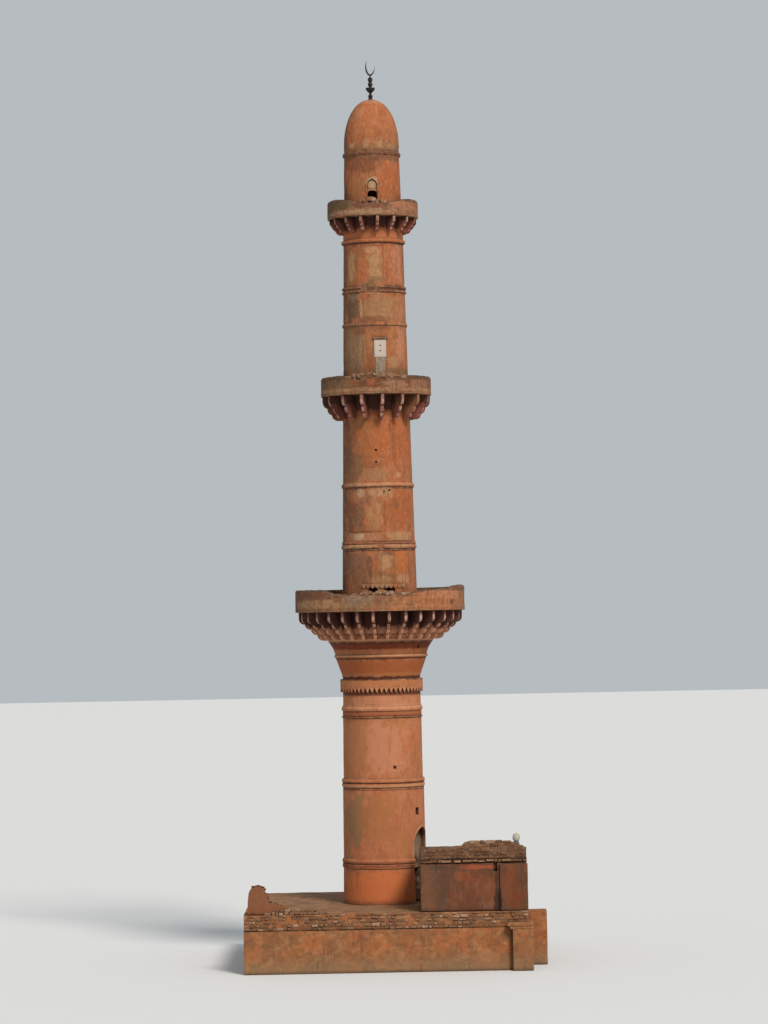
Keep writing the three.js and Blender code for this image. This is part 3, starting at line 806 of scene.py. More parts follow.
def upper_plaster():
    """Storeys 2 to 4: the same plaster worn to tan, olive and brown blotches."""
    made, tree, shader = start_material("upper_plaster")
    colour = clouded(
        tree,
        (0.36, 0.108, 0.038),
        (ROSE, 0.4, 1.3, 1.8, 0.52, 0.1),
        (OCHRE, 0.75, 0.6, 2.0, 0.53, 0.07),
        (OLIVE, 0.45, 0.42, 2.4, 0.57, 0.06),
        (DEEP_RED, 0.5, 0.3, 1.8, 0.56, 0.06),
    )
    grimy = (0.19, 0.085, 0.05)
    bright_orange = (0.42, 0.12, 0.032)
    dusty_tan = (0.37, 0.165, 0.067)
    brick_red = (0.33, 0.088, 0.026)
    dull_tan = (0.31, 0.15, 0.07)
    warm_red = (0.39, 0.103, 0.027)
    khaki = (0.215, 0.14, 0.075)
    umber = (0.11, 0.068, 0.038)
    sand = (0.33, 0.165, 0.075)
    pale_orange = (0.37, 0.16, 0.08)
    sunny_red = (0.38, 0.105, 0.032)
    blotches = (
        # Painted shade on the side away from the sun, all the way up.
        (BROWN, 0.75, -90, 42.0, 27, 40.0),
        # Foot of storey 2.
        (grimy, 0.7, -42, 27.4, 24, 1.15),
        (OLIVE, 0.5, -6, 26.4, 30, 0.6),
        (BROWN, 0.65, -15, 27.2, 4, 0.8),
        (TAN, 0.9, 10, 27.7, 11, 0.6),
        (BROWN, 0.5, 17, 28.25, 12, 0.15),
        (bright_orange, 0.95, 40, 27.65, 13, 0.75),
        (PEACH, 0.55, 40, 26.45, 12, 0.3),
        (TAN, 0.6, 2, 26.3, 14, 0.35),
        (BROWN, 0.35, 2, 27.3, 2.5, 0.9),
        (OLIVE, 0.4, 24, 27.0, 3, 1.0),
        # Middle of storey 2, with the pale band over its string course.
        (ROSE, 0.5, -32, 29.45, 36, 0.25),
        (LIME, 0.85, -32, 29.45, 10, 0.22),
        (TAN, 0.8, 36, 29.5, 27, 0.28),
        (SHADOW_LINE, 0.6, -26, 29.78, 34, 0.06),
        ring(SHADOW_LINE, 0.85, 28.53, 0.1),
        (SHADOW_LINE, 0.8, 30, 29.1, 50, 0.07),
        # Painted highlights, partly pale wear, on the roll of string course 4.
        (PEACH, 0.6, -40, 28.75, 34, 0.12),
        (PEACH, 0.45, 40, 28.75, 34, 0.12),
        ring(SHADOW_LINE, 0.8, 32.83, 0.09),
        # Painted highlights, partly pale wear, on the roll at 33 m.
        (PEACH, 0.6, -30, 33.05, 40, 0.1),
        (PEACH, 0.5, 40, 33.1, 36, 0.08),
        (MAROON, 0.6, -46, 30.9, 20, 1.0),
        (OLIVE, 0.55, -32, 30.6, 9, 0.9),
        (dusty_tan, 0.85, -5, 31.0, 12, 1.1),
        (BROWN, 0.75, 11, 31.0, 2.2, 1.05),
        (brick_red, 0.8, 38, 31.2, 26, 1.2),
        (BROWN, 0.4, 30, 31.6, 5, 0.4),
        (LIME, 0.6, -28, 32.45, 9, 0.3),
        (TAN, 0.8, 3, 32.5, 20, 0.35),
        # Top of storey 2.
        (dull_tan, 0.85, -4, 33.7, 19, 0.4),
        (PEACH, 0.5, 37, 33.7, 6, 0.2),
        (OLIVE, 0.6, -44, 34.4, 20, 1.1),
        (MAROON, 0.5, -62, 36.0, 16, 1.6),
        (BROWN, 0.35, -58, 33.6, 20, 4.2),
        (BROWN, 0.4, -10, 34.4, 20, 0.16),
        (OLIVE, 0.35, -18, 35.6, 14, 0.8),
        (warm_red, 0.65, 20, 36.1, 46, 1.5),
        # Foot of storey 3, round the window.
        (khaki, 0.75, -44, 42.2, 26, 1.8),
        (TAN, 0.4, -24, 42.4, 5, 1.2),
        (MAROON, 0.55, -28, 43.75, 14, 0.25),
        (BROWN, 0.5, 4, 44.1, 20, 0.45),
        (ORANGE, 0.75, 8, 44.25, 6, 0.2),
        (OCHRE, 0.6, 36, 42.6, 16, 1.4),
        (ROSE, 0.6, 56, 42.9, 16, 1.2),
        (TAN, 0.75, 33, 41.5, 10, 0.4),
        (OLIVE, 0.7, 0, 40.85, 70, 0.3),
        (BROWN, 0.45, -8, 41.6, 7, 0.9),
        # Painted shadow on and under the drip stone.
        (SHADOW_LINE, 0.85, 9, 43.25, 13.5, 0.1),
        # Middle of storey 3.
        (umber, 0.9, -46, 45.4, 18, 1.0),
        (GREY, 0.3, -42, 46.2, 14, 0.18),
        (sand, 0.85, 5, 45.45, 29, 0.85),
        (PEACH, 0.5, -25, 45.4, 2.5, 0.8),
        (pale_orange, 0.7, 56, 45.4, 16, 0.9),
        (BROWN, 0.55, -4, 44.62, 26, 0.2),
        (MAROON, 0.6, 40, 46.7, 32, 0.26),
        (SHADOW_LINE, 0.9, -42, 46.53, 28, 0.08),
        # Painted highlight, partly pale wear, on string course 5.
        (PEACH, 0.5, -42, 46.74, 26, 0.07),
        (SHADOW_LINE, 0.7, -42, 46.92, 28, 0.05),
        (SHADOW_LINE, 0.8, 42, 46.9, 32, 0.06),
        (OLIVE, 0.7, -7, 46.8, 14, 0.45),
        ring(BROWN, 0.45, 46.72, 0.22),
        # Top of storey 3.
        (TAN, 0.9, -46, 48.5, 9, 1.0),
        (ORANGE, 0.6, -25, 48.4, 6, 0.9),
        (TAN, 0.85, 2, 48.3, 13, 0.85),
        (PEACH, 0.5, -4, 49.45, 14, 0.2),
        (OLIVE, 0.6, 6, 47.35, 22, 0.2),
        (ROSE, 0.6, 52, 48.4, 18, 1.1),
        ring(ORANGE, 0.85, 50.12, 0.14),
        ring(SHADOW_LINE, 0.75, 49.92, 0.07),
        (DEEP_RED, 0.6, 0, 49.75, 22, 0.12),
        # Storey 4 and the dome.
        ring(BROWN, 0.65, 55.9, 0.2),
        (DEEP_RED, 0.85, -22, 55.3, 26, 0.5),
        (BROWN, 0.35, -8, 55.5, 40, 0.5),
        (OCHRE, 0.7, -36, 53.9, 18, 0.8),
        (sunny_red, 0.8, 40, 54.4, 26, 1.1),
        (LIME, 0.8, 0, 54.15, 9.5, 0.32),
        (TAN, 0.7, 0, 53.68, 14, 0.12),
        ring(SHADOW_LINE, 0.8, 56.3, 0.17),
        ring(OLIVE, 0.45, 56.7, 0.25),
        (PEACH, 0.6, -46, 56.8, 9, 0.2),
        (PEACH, 0.6, -10, 56.9, 9, 0.28),
        (PEACH, 0.5, 16, 56.85, 8, 0.22),
        (TAN, 0.5, 46, 56.75, 12, 0.14),
        (ORANGE, 0.6, 5, 58.6, 60, 1.3),
        (DEEP_RED, 0.4, 33, 59.1, 12, 0.4),
        (DEEP_RED, 0.4, 14, 57.7, 8, 0.3),
        (TAN, 0.35, -34, 59.2, 16, 0.5),
        ring(ROSE, 0.6, 60.1, 0.3),
    )
    colour = blotched(tree, colour, blotches)
    colour = clouded(
        tree,
        colour,
        (BROWN, 0.3, 0.16, 1.8, 0.55, 0.07),
        (LIME, 0.15, 0.12, 1.4, 0.58, 0.06),
        (BROWN, 0.25, 0.07, 1.5, 0.5, 0.15),
    )
    rain_stain = (0.15, 0.058, 0.028)
    colour = weathered(tree, colour, (0.055, 1.6, rain_stain, 0.65), (LIME, 0.35), (0.2, SHADOW_LINE, 0.9))
    joints = bare_joints(tree, (1.0, 0.2, 0.07, 0.01), (0.8, 1.4, 0.54, 0.06))
    surfaced(tree, shader, colour, 0.92, (0.09, 0.6, 0.008), joints)
    return made


def weathered_masonry():
    """Parapets: brown and orange plaster, black with lichen along the top, pale along the foot."""
    made, tree, shader = start_material("weathered_masonry")
    colour = clouded(
        tree,
        (0.22, 0.086, 0.042),
        (TAN, 0.35, 0.6, 0.8, 0.54, 0.08),
        (ORANGE, 0.45, 0.45, 0.9, 0.55, 0.06),
        (OLIVE, 0.7, 0.3, 1.1, 0.52, 0.06),
        (MAROON, 0.4, 0.2, 1.2, 0.55, 0.06),
    )
    lichen = (0.06, 0.036, 0.022)
    orange_end = (0.36, 0.125, 0.045)
    dark_red = (0.115, 0.038, 0.016)
    red_patch = (0.3, 0.08, 0.03)
    pale_patch = (0.3, 0.15, 0.085)
    dusty_tan = (0.27, 0.13, 0.068)
    annexe_brown = (0.12, 0.07, 0.04)
    mossy = (0.085, 0.06, 0.03)
    rubble_red = (0.14, 0.052, 0.03)
    rosy_orange = (0.34, 0.13, 0.07)
    pale_foot = (0.34, 0.2, 0.12)
    blotches = (
        # Painted shade on the side away from the sun, all the way up.
        (lichen, 0.6, -90, 42.0, 26, 40.0),
        # Balcony 1: reddish at the left, dusty in the middle, orange at the right.
        (MAROON, 0.7, -54, 25.45, 28, 0.32),
        (TAN, 0.75, -50, 24.8, 26, 0.28),
        (GREY, 0.35, -15, 25.1, 12, 0.4),
        ring(BROWN, 0.12, 25.1, 0.9),
        (OLIVE, 0.5, -12, 24.75, 14, 0.25),
        (orange_end, 0.75, 44, 25.0, 32, 0.75),
        (ROSE, 0.4, 50, 25.3, 20, 0.3),
        (lichen, 0.7, 57, 24.78, 2.5, 0.22),
        # Painted shadow under the broken top edge.
        (lichen, 0.55, 16, 25.3, 12, 0.06),
        ring(lichen, 0.55, 25.78, 0.16),
        # Balcony 2: one reddish piece, pale to its right.
        (dark_red, 0.8, 8, 40.15, 80, 0.6),
        (red_patch, 0.8, -5, 40.2, 4.0, 0.3),
        (DEEP_RED, 0.5, -28, 40.1, 8, 0.25),
        (pale_patch, 0.7, 20, 39.95, 16, 0.22),
        (OLIVE, 0.6, -45, 40.1, 22, 0.4),
        (dusty_tan, 0.6, 52, 40.0, 16, 0.3),
        ring(lichen, 0.8, 40.6, 0.26),
        ring(TAN, 0.35, 39.62, 0.12),
        # The annexe's parapet.
        ring(annexe_brown, 0.65, 8.0, 1.2),
        # The filling under the window's slab.
        (GREY, 0.95, 9, 41.3, 14, 0.8),
        # Balcony 3: olive at the left, rubble in the middle, orange at the right.
        (mossy, 0.8, -50, 52.65, 24, 0.42),
        (rubble_red, 0.8, -8, 52.55, 22, 0.34),
        (rosy_orange, 0.6, 46, 52.45, 24, 0.35),
        (MAROON, 0.5, 14, 52.6, 9, 0.3),
        ring(lichen, 0.8, 52.96, 0.2),
        (pale_foot, 0.7, -14, 52.02, 46, 0.14),
    )
    colour = blotched(tree, colour, blotches)
    upward = effect(tree, "facing_out_and_up")["Upward"]
    colour = laid_over(tree, colour, lichen, eased_value(tree, upward, 0.25, 0.7), 0.8)
    fine = (BROWN, 0.5, 0.14, 1.2, 0.54, 0.06), (LIME, 0.2, 0.1, 1.0, 0.58, 0.05)
    colour = clouded(tree, colour, *fine)
    colour = weathered(tree, colour, (0.06, 0.8, lichen, 0.65), (LIME, 0.2), (0.12, SHADE_AND_SOOT, 0.6))
    surfaced(tree, shader, colour, 0.95, (0.08, 0.8, 0.012))
    return made


def bracket_stone():
    """Carved brackets: rosy with a painted highlight on their outward faces, painted shade on their sides,
    between them and underneath.
    """
    made, tree, shader = start_material("bracket_stone")
    # Painted highlight on faces that look outward, painted shade on the brackets' sides; the shade is lighter
    # and redder low in the gaps, below the floor's shadow.
    outward_highlight = eased_value(tree, effect(tree, "facing_out_and_up")["Outward"], 0.35, 0.85)
    rosy = (0.5, 0.28, 0.21)
    fine = (MAROON, 0.7, 0.22, 1.2, 0.51, 0.07), (LIME, 0.4, 0.12, 1.0, 0.57, 0.05)
    pale = clouded(tree, rosy, *fine)
    gap_shade = (0.085, 0.032, 0.022)
    ruddy = (0.24, 0.072, 0.046)
    shaded_gaps = blotched(tree, gap_shade, (ring(ruddy, 0.8, 37.95, 0.65), ring(ruddy, 0.8, 51.0, 0.5)))
    colour = laid_over(tree, shaded_gaps, pale, outward_highlight, 0.85)
    # The wall behind the brackets: painted shade under the floor, with painted light on its foot below the
    # floor's shadow.
    wall_shade = (0.11, 0.038, 0.027)
    wall = clouded(tree, wall_shade, (MAROON, 0.5, 0.3, 1.0, 0.53, 0.06))
    lit_foot = (0.5, 0.19, 0.09)
    feet = (
        ring(lit_foot, 0.95, 22.6, 0.55),
        ring(TERRACOTTA, 0.95, 37.8, 0.42),
        ring(TERRACOTTA, 0.95, 50.55, 0.48),
    )
    colour = laid_over(tree, colour, blotched(tree, wall, feet), on_bracket_wall(tree))
    pale_foot = (0.55, 0.25, 0.14)
    shaded = (0.13, 0.045, 0.032)
    golden = (0.3, 0.13, 0.05)
    # Painted light on the lower band of balcony 1's brackets, painted shade under the floors and on the side
    # away from the sun.
    blotches = (
        ring(pale_foot, 0.85, 22.6, 0.55),
        ring(shaded, 0.7, 24.15, 0.26),
        ring(shaded, 0.65, 39.15, 0.24),
        (SHADE_AND_SOOT, 0.3, -60, 38.6, 22, 1.0),
        (SHADE_AND_SOOT, 0.3, -58, 51.4, 24, 0.7),
        (golden, 0.4, 44, 38.7, 16, 0.8),
    )
    colour = blotched(tree, colour, blotches)
    # Painted shade in the hollows between and under the brackets.
    shade_and_grime = effect(tree, "crevice_shade", {"Reach": 0.35, "Strength": 1.1})["Mask"]
    colour = laid_over(tree, colour, SHADE_AND_SOOT, shade_and_grime, 0.5)
    surfaced(tree, shader, colour, 0.93, (0.06, 0.5, 0.006))
    return made


def on_bracket_wall(tree):
    """1 on the wall behind the brackets, which is wider at balcony 1 than higher up."""
    place = effect(tree, "tower_place")
    first = calc(tree, "LESS_THAN", place["Height"], 30.0)
    return calc(tree, "LESS_THAN", place["Radius"], calc(tree, "MULTIPLY_ADD", first, 1.9, 2.43))


def red_masonry():
    """Annexe walls: dull red plaster streaked from the top, browned by damp."""
    made, tree, shader = start_material("red_masonry")
    damp = (0.065, 0.04, 0.024)
    dull_red = (0.2, 0.058, 0.024)
    dusty = (0.2, 0.12, 0.075)
    colour = clouded(
        tree,
        (0.125, 0.04, 0.017),
        (BROWN, 0.5, 0.8, 2.2, 0.5, 0.1),
        (dull_red, 0.5, 0.4, 3.2, 0.54, 0.08),
        (damp, 0.55, 0.25, 3.6, 0.54, 0.08),
        (dusty, 0.35, 0.2, 2.5, 0.56, 0.06),
    )
    browned = (0.135, 0.06, 0.03)
    fresh_red = (0.3, 0.07, 0.026)
    warm_red = (0.22, 0.055, 0.022)
    red_patch = (0.2, 0.056, 0.023)
    end_red = (0.15, 0.034, 0.011)
    stump_red = (0.23, 0.085, 0.038)
    blotches = (
        (browned, 0.6, 2.9, 5.9, 0.42, 1.9),
        (damp, 0.5, 3.9, 5.6, 0.5, 1.6),
        (fresh_red, 0.8, 6.2, 6.92, 1.25, 0.13),
        (warm_red, 0.5, 5.2, 6.3, 0.8, 0.35),
        (red_patch, 0.4, 6.6, 5.6, 0.7, 0.7),
        (damp, 0.5, 4.0, 6.9, 1.3, 0.14),
        (SHADE_AND_SOOT, 0.8, 7.58, 4.6, 0.26, 0.9),
        (SHADE_AND_SOOT, 0.55, 7.5, 6.1, 0.12, 0.9),
        (end_red, 0.6, 8.6, 5.4, 0.7, 1.2),
        (damp, 0.4, 9.1, 6.2, 0.3, 1.0),
        (stump_red, 0.6, -8.2, 5.0, 1.9, 1.3),
    )
    colour = blotched(tree, colour, blotches, flat=True)
    joints = bare_joints(tree, (0.0, 0.16, 0.065, 0.01), (0.7, 1.0, 0.57, 0.04))
    joint_tint = (0.1, 0.06, 0.04)
    colour = laid_over(tree, colour, joint_tint, joints, 0.4)
    rain_stain = (0.045, 0.025, 0.015)
    worn = (0.27, 0.13, 0.075)
    colour = weathered(tree, colour, (0.05, 2.4, rain_stain, 0.6), (worn, 0.4), (0.15, SHADE_AND_SOOT, 0.8))
    surfaced(tree, shader, colour, 0.93, (0.08, 0.6, 0.008), joints)
    return made


def base_plaster():
    """Platform faces and footing: orange plaster, dusty towards the ground."""
    made, tree, shader = start_material("base_plaster")
    earthy = (0.19, 0.085, 0.036)
    colour = clouded(
        tree,
        (0.3, 0.102, 0.035),
        (earthy, 0.8, 0.8, 0.9, 0.5, 0.1),
        (TAN, 0.35, 0.35, 0.8, 0.56, 0.09),
        (BROWN, 0.5, 0.18, 1.0, 0.55, 0.07),
    )
    dusty = (0.2, 0.135, 0.075)
    low = inverse(tree, eased_value(tree, effect(tree, "tower_place")["Height"], 0.0, 1.6))
    colour = laid_over(tree, colour, dusty, low, 0.6)
    rain_stain = (0.1, 0.05, 0.03)
    colour = weathered(tree, colour, (0.08, 0.8, rain_stain, 0.6), (LIME, 0.3), (0.15, SHADE_AND_SOOT, 0.7))
    surfaced(tree, shader, colour, 0.94, (0.1, 0.6, 0.008))
    return made


def trodden_fill():
    """The platform's top: rubble and lime trodden flat, with dust and bare stones."""
    made, tree, shader = start_material("trodden_fill")
    colour = clouded(
        tree,
        (0.215, 0.12, 0.06),
        (BROWN, 0.5, 0.8, 1.0, 0.52, 0.08),
        (TAN, 0.5, 0.5, 1.0, 0.54, 0.07),
        (TERRACOTTA, 0.4, 0.25, 1.0, 0.57, 0.06),
        (BROWN, 0.4, 0.09, 1.0, 0.53, 0.1),
    )
    colour = weathered(tree, colour, (0.1, 0.1, BROWN, 0.2), (LIME, 0.2), (0.15, SHADE_AND_SOOT, 0.6))
    surfaced(tree, shader, colour, 0.96, (0.08, 0.9, 0.014))
    return made


def stones(name, dark, light, pale, cloud, shade_and_grime):
    """Separate stones or bricks, each with its own tone between dark and light, a few pale."""
    made, tree, shader = start_material(name)
    tone = add(tree, "ShaderNodeAttribute", attribute_name="tone").outputs["Fac"]
    colour = laid_over(tree, dark, light, tone)
    colour = laid_over(tree, colour, pale, eased_value(tree, tone, 0.76, 0.9), 0.75)
    colour = clouded(tree, colour, (cloud, 0.6, 0.2, 1.0, 0.5, 0.1), (TAN, 0.2, 0.12, 1.0, 0.57, 0.06))
    colour = weathered(tree, colour, (0.05, 0.5, cloud, 0.4), (TAN, 0.2), (0.12, SHADE_AND_SOOT, shade_and_grime))
    surfaced(tree, shader, colour, 0.95, (0.05, 0.6, 0.008))
    return made


def pale_slab(name, tone, foot=0.0):
    """Smooth pale stone, a little stained, with painted shade and grime at its edges, and darker below its
    foot's height.
    """
    made, tree, shader = start_material(name)
    yellowed = (0.43, 0.35, 0.285)
    rain_stain = (0.27, 0.2, 0.15)
    edge_shade_and_grime = (0.14, 0.09, 0.055)
    colour = clouded(tree, tone, (yellowed, 0.6, 0.25, 1.6, 0.5, 0.2))
    height = effect(tree, "tower_place")["Height"]
    low = inverse(tree, eased_value(tree, height, foot - 0.1, foot + 0.14))
    colour = laid_over(tree, colour, SHADE_AND_SOOT, low, 0.85)
    colour = weathered(tree, colour, (0.03, 0.5, rain_stain, 0.4), (LIME, 0.1), (0.05, edge_shade_and_grime, 0.8))
    surfaced(tree, shader, colour, 0.6, (0.05, 0.2, 0.002))
    return made


def wrought_iron():
    """The finial: dark iron with dull rust in its hollows."""
    made, tree, shader = start_material("wrought_iron")
    bare_iron = (0.025, 0.024, 0.026)
    rust = (0.06, 0.03, 0.018)
    hollow_rust = (0.05, 0.02, 0.012)
    rusty = mottled(tree, 0.06, 1.0, 0.52, 0.15)
    shade_and_grime = effect(tree, "crevice_shade", {"Reach": 0.04, "Strength": 1.2})["Mask"]
    colour = laid_over(tree, bare_iron, rust, rusty, 0.6)
    colour = laid_over(tree, colour, hollow_rust, shade_and_grime, 0.7)
    roughness = calc(tree, "MULTIPLY_ADD", rusty, 0.35, 0.5)
    surfaced(tree, shader, colour, roughness, (0.02, 0.4, 0.001))
    feed(tree, shader.inputs["Metallic"], calc(tree, "MULTIPLY_ADD", rusty, -0.6, 0.8))
    return made


# The loose stones' dark, light and pale tones, their cloudy tint and how much painted shade and grime lies
# between them.
STONES = {
    "rubble": ((0.115, 0.062, 0.035), (0.27, 0.135, 0.07), (0.38, 0.25, 0.17), BROWN, 0.6),
    "loose_stone": ((0.1, 0.05, 0.028), (0.27, 0.12, 0.07), (0.38, 0.24, 0.17), OLIVE, 0.5),
    "broken_brick": ((0.04, 0.019, 0.011), (0.145, 0.067, 0.031), (0.36, 0.225, 0.135), BROWN, 0.5),
}

FINISHES = {
    "tower_plaster": tower_plaster(),
    "upper_plaster": upper_plaster(),
    "weathered_masonry": weathered_masonry(),
    "bracket_stone": bracket_stone(),
    "red_masonry": red_masonry(),
    "base_plaster": base_plaster(),
    "trodden_fill": trodden_fill(),
    **{name: stones(name, *tones) for name, tones in STONES.items()},
    "pale_slab": pale_slab("pale_slab", (0.45, 0.385, 0.335)),
    "knob_stone": pale_slab("knob_stone", (0.34, 0.31, 0.255), 8.64),
    "wrought_iron": wrought_iron(),
}


# Tower courses.

def levels(node):
    """Foot and head of a CAD node."""
    low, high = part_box(node)
    return low.z, high.z


def corners(node):
    """Radius and height of each corner of a CAD node."""
    return [(math.hypot(v.co.x, v.co.y), v.co.z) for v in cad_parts[node].data.vertices]


def radius_at(node, level):
    """Outer radius of a CAD node at one of its own levels."""
    return max(radius for radius, height in corners(node) if abs(height - level) < 1e-3)


def widest(node):
    """Largest radius of a CAD node."""
    return max(radius for radius, _ in corners(node))


def plaster_drum(node, room, finish, cutters=()):
    """A plain stretch of plastered wall in place of a CAD drum."""
    foot, head = levels(node)
    outer = straight([(radius_at(node, foot), foot), (radius_at(node, head), head)], WALL_STEP)
    turned_piece("plaster_" + node, node, outer, room, finish, cutters=cutters)


def rolled_line(foot, head, body, crest, rolls):
    """Outer line of a string course. rolls is its rounds: foot and head as shares, and how proud."""
    rise = head - foot
    line = [np.array([body, foot])]
    steps = 6
    for low, high, proud in rolls:
        middle = foot + rise * (low + high) / 2
        half = rise * (high - low) / 2
        for i in range(steps + 1):
            turn = math.pi * i / steps
            bulge = math.sin(turn) ** 0.6 if 0 < i < steps else 0.15
            line.append(np.array([body + (crest - body) * proud * bulge, middle - half * math.cos(turn)]))
    line.append(np.array([body, head]))
    return line


TWO_ROLLS = ((0.06, 0.5, 1.0), (0.53, 0.97, 1.0))


def string_course(node, room, finish, rolls=TWO_ROLLS, cutters=(), broken=None):
    """A string course; broken is the range of azimuths where its rounds have fallen off."""
    foot, head = levels(node)
    body = radius_at(node, foot)
    line = rolled_line(foot, head, body, widest(node), rolls)
    made = turned_piece("worn_" + node, node, line, room, finish, 0.5, 0.02, cutters)
    if broken:
        points = np.array([vertex.co[:] for vertex in made.data.vertices])
        azimuth = azimuth_of(points) + 9 * rough(points, 0.15, 27)
        radius = radius_of(points)
        fallen = (azimuth > broken[0]) & (azimuth < broken[1]) & (radius > body)
        fallen_to = body + 0.25 * (radius - body) + 0.012 * rough(points, 0.07, 28)
        points = push_out(points, np.where(fallen, fallen_to - radius, 0))
        made.data.vertices.foreach_set("co", points.ravel())


def portal_recess():
    """The arched recess of the portal, as a shape to carve with."""
    return cutter(arch_line(2.2, 3.0, PORTAL_SPRING, PORTAL_APEX), 2.35, 4.0, PORTAL_AZIMUTH)


def storey_1():
    finish = "tower_plaster"
    doorway = cutter(rectangle(-0.65, 0.65, 3.0, 7.0), 1.0, 3.0, PORTAL_AZIMUTH)
    plaster_drum("foot_drum", ROOM_1, finish, [portal_recess(), doorway])
    string_course("string_course_1", ROOM_1, finish, cutters=[portal_recess()])
    window = cutter(rectangle(-0.2, 0.2, 10.1, 10.6), 2.5, 3.4, 54.5)
    plaster_drum("lower_drum", ROOM_1, finish, [portal_recess(), window])
    string_course("string_course_2", ROOM_1, finish)
    plaster_drum("upper_drum", ROOM_1, finish, [putlog_hole(17, 13.45, 2.75, 0.22)])
    rolls = (0.0, 0.14, 1.0), (0.14, 0.48, 0.35), (0.5, 0.86, 1.0)
    string_course("string_course_3", ROOM_1, finish, rolls)
    plaster_drum("neck_drum", ROOM_1, finish)
    toothed_course(finish)
    flare(finish)
    head = PORTAL_SPRING, PORTAL_APEX + 0.1, PORTAL_APEX - 0.16
    mesh_piece("portal_frame", arched_rim(2.5, 2.22, 4.0, *head, PORTAL_AZIMUTH, 2.86, 0.012), finish)


def toothed_course(finish):
    """A flat band with a row of hanging triangular teeth along its foot."""
    node = "toothed_course"
    teeth = 54
    drop = 0.3 * METRE
    foot, head = levels(node)
    face = widest(node)
    line = [(face, foot), (face + 0.006, foot + 0.02), (face + 0.006, head - 0.02), (face - 0.01, head)]
    points, faces = worn_ring(straight(line, WALL_STEP), ROOM_1, 0.6)
    parts = [(points.tolist(), faces)]
    pitch = 360 / teeth
    root = foot + 0.004
    corner_places = (-0.46, root), (0.46, root), (0.08, foot - drop), (-0.08, foot - drop)
    for index in range(teeth):
        loops = []
        for radius in (face - 0.12, face + 0.004):
            loops.append([around((index + share) * pitch, radius, height) for share, height in corner_places])
        parts.append(tube(loops))
    mesh_piece("toothed_band", combined(parts), finish, (node,))


def flare(finish):
    """The lobed flare under balcony 1 and its cornice."""
    lower = [(2.68, 19.55), (2.7, 19.64), (2.8, 20.0), (2.95, 20.42), (3.1, 20.86), (3.17, 21.04)]
    roll = [(3.2, 21.05), (3.25, 21.08), (3.275, 21.15), (3.25, 21.23), (3.19, 21.26)]
    upper = [(3.22, 21.38), (3.34, 21.7), (3.5, 21.96), (3.63, 22.15)]
    line = curved(real_line(lower), WALL_STEP) + straight(real_line(roll), 0.02)
    line += curved(real_line(upper), WALL_STEP)
    hole = putlog_hole(51, 21.75, 3.35, 0.22)
    turned_piece("plaster_flare", "flare", line, ROOM_1, finish, 0.8, 0.006, [hole])
    edge = [(3.64, 22.15), (3.7, 22.25), (3.9, 22.37), (4.02, 22.41), (4.08, 22.49), (4.09, 22.63)]
    edge += [(4.03, 22.72), (3.98, 22.75)]
    line = straight(real_line(edge), 0.03)
    turned_piece("worn_flare_cornice", "flare_cornice", line, ROOM_1, finish, 0.5, 0.02)


def arched_rim(width, clear, foot, spring, apex, clear_apex, azimuth=0, radius=2.0, proud=0.03):
    """A thin raised band round an arched opening in the tower's wall, real metres."""
    outer = arch_line(width, foot, spring, apex)
    inner = arch_line(clear, foot, spring, clear_apex)
    across, out = wall_axes(azimuth)
    loops = []
    # From the right foot over the head to the left foot, leaving the sill open.
    for i in [*range(1, len(inner)), 0]:
        loop = []
        for line, rise in ((inner, -0.2), (inner, proud), (outer, proud), (outer, -0.2)):
            x, z = line[i]
            reach = math.sqrt(radius**2 - x * x) + rise
            loop.append((across * x + out * reach + np.array([0, 0, z])) * METRE)
        loops.append(loop)
    return tube(loops)


def lobed_profile(root, start, lobes, top):
    """A bracket's outline, (radius, height): convex lobes that step out and up to its tip."""
    line = [(root, start[1]), start]
    at = start
    for radius, height in lobes:
        for i in range(1, 5):
            turn = math.pi / 2 * i / 4
            out = at[0] + (radius - at[0]) * math.sin(turn)
            line.append((out, at[1] + (height - at[1]) * (1 - math.cos(turn))))
        at = (radius - 0.05, height + 0.02)
        line.append(at)
    tip = lobes[-1][0]
    return [*line[:-1], (tip, at[1]), (tip, top), (root, top)]


def bracket_shape(profile, width):
    """Points and faces of one bracket at the front, its edges rounded off."""
    half = width / 2
    count = len(profile)
    work = bmesh.new()
    sides = []
    for x in (-half, half):
        sides.append([work.verts.new(Vector((x, -radius, height)) * METRE) for radius, height in profile])
    for i in range(count):
        k = (i + 1) % count
        work.faces.new((sides[0][i], sides[0][k], sides[1][k], sides[1][i]))
    work.faces.new(sides[0])
    work.faces.new(list(reversed(sides[1])))
    bmesh.ops.recalc_face_normals(work, faces=work.faces)
    rims = [edge for edge in work.edges if edge.calc_face_angle(0) > math.radians(60)]
    rounding = {"offset": 0.014, "segments": 2, "profile": 0.6, "clamp_overlap": True}
    bmesh.ops.bevel(work, geom=rims, affect="EDGES", **rounding)
    work.verts.index_update()
    points = np.array([vert.co[:] for vert in work.verts])
    faces = [tuple(vert.index for vert in face.verts) for face in work.faces]
    work.free()
    return points, faces


def turned_by(points, azimuth):
    """Points at the front turned to an azimuth."""
    angle = math.radians(azimuth)
    points = np.asarray(points)
    x = points[:, 0] * math.cos(angle) - points[:, 1] * math.sin(angle)
    y = points[:, 0] * math.sin(angle) + points[:, 1] * math.cos(angle)
    return np.stack([x, y, points[:, 2]], axis=1)


def foot_arch(azimuth, half_angle, radius, spring, rise):
    """A small blind arch between two bracket feet: a raised rib bent over the gap."""
    steps = 8
    loops = []
    for i in range(steps + 1):
        turn = math.pi * i / steps
        loop = []
        for spread, proud in ((1.0, 0.0), (1.0, 0.05), (0.78, 0.05), (0.78, 0.0)):
            at = azimuth - half_angle * spread * math.cos(turn)
            height = spring + rise * spread * math.sin(turn)
            loop.append(around(at, (radius + proud) * METRE, height * METRE))
        loops.append(loop)
    return tube(loops)


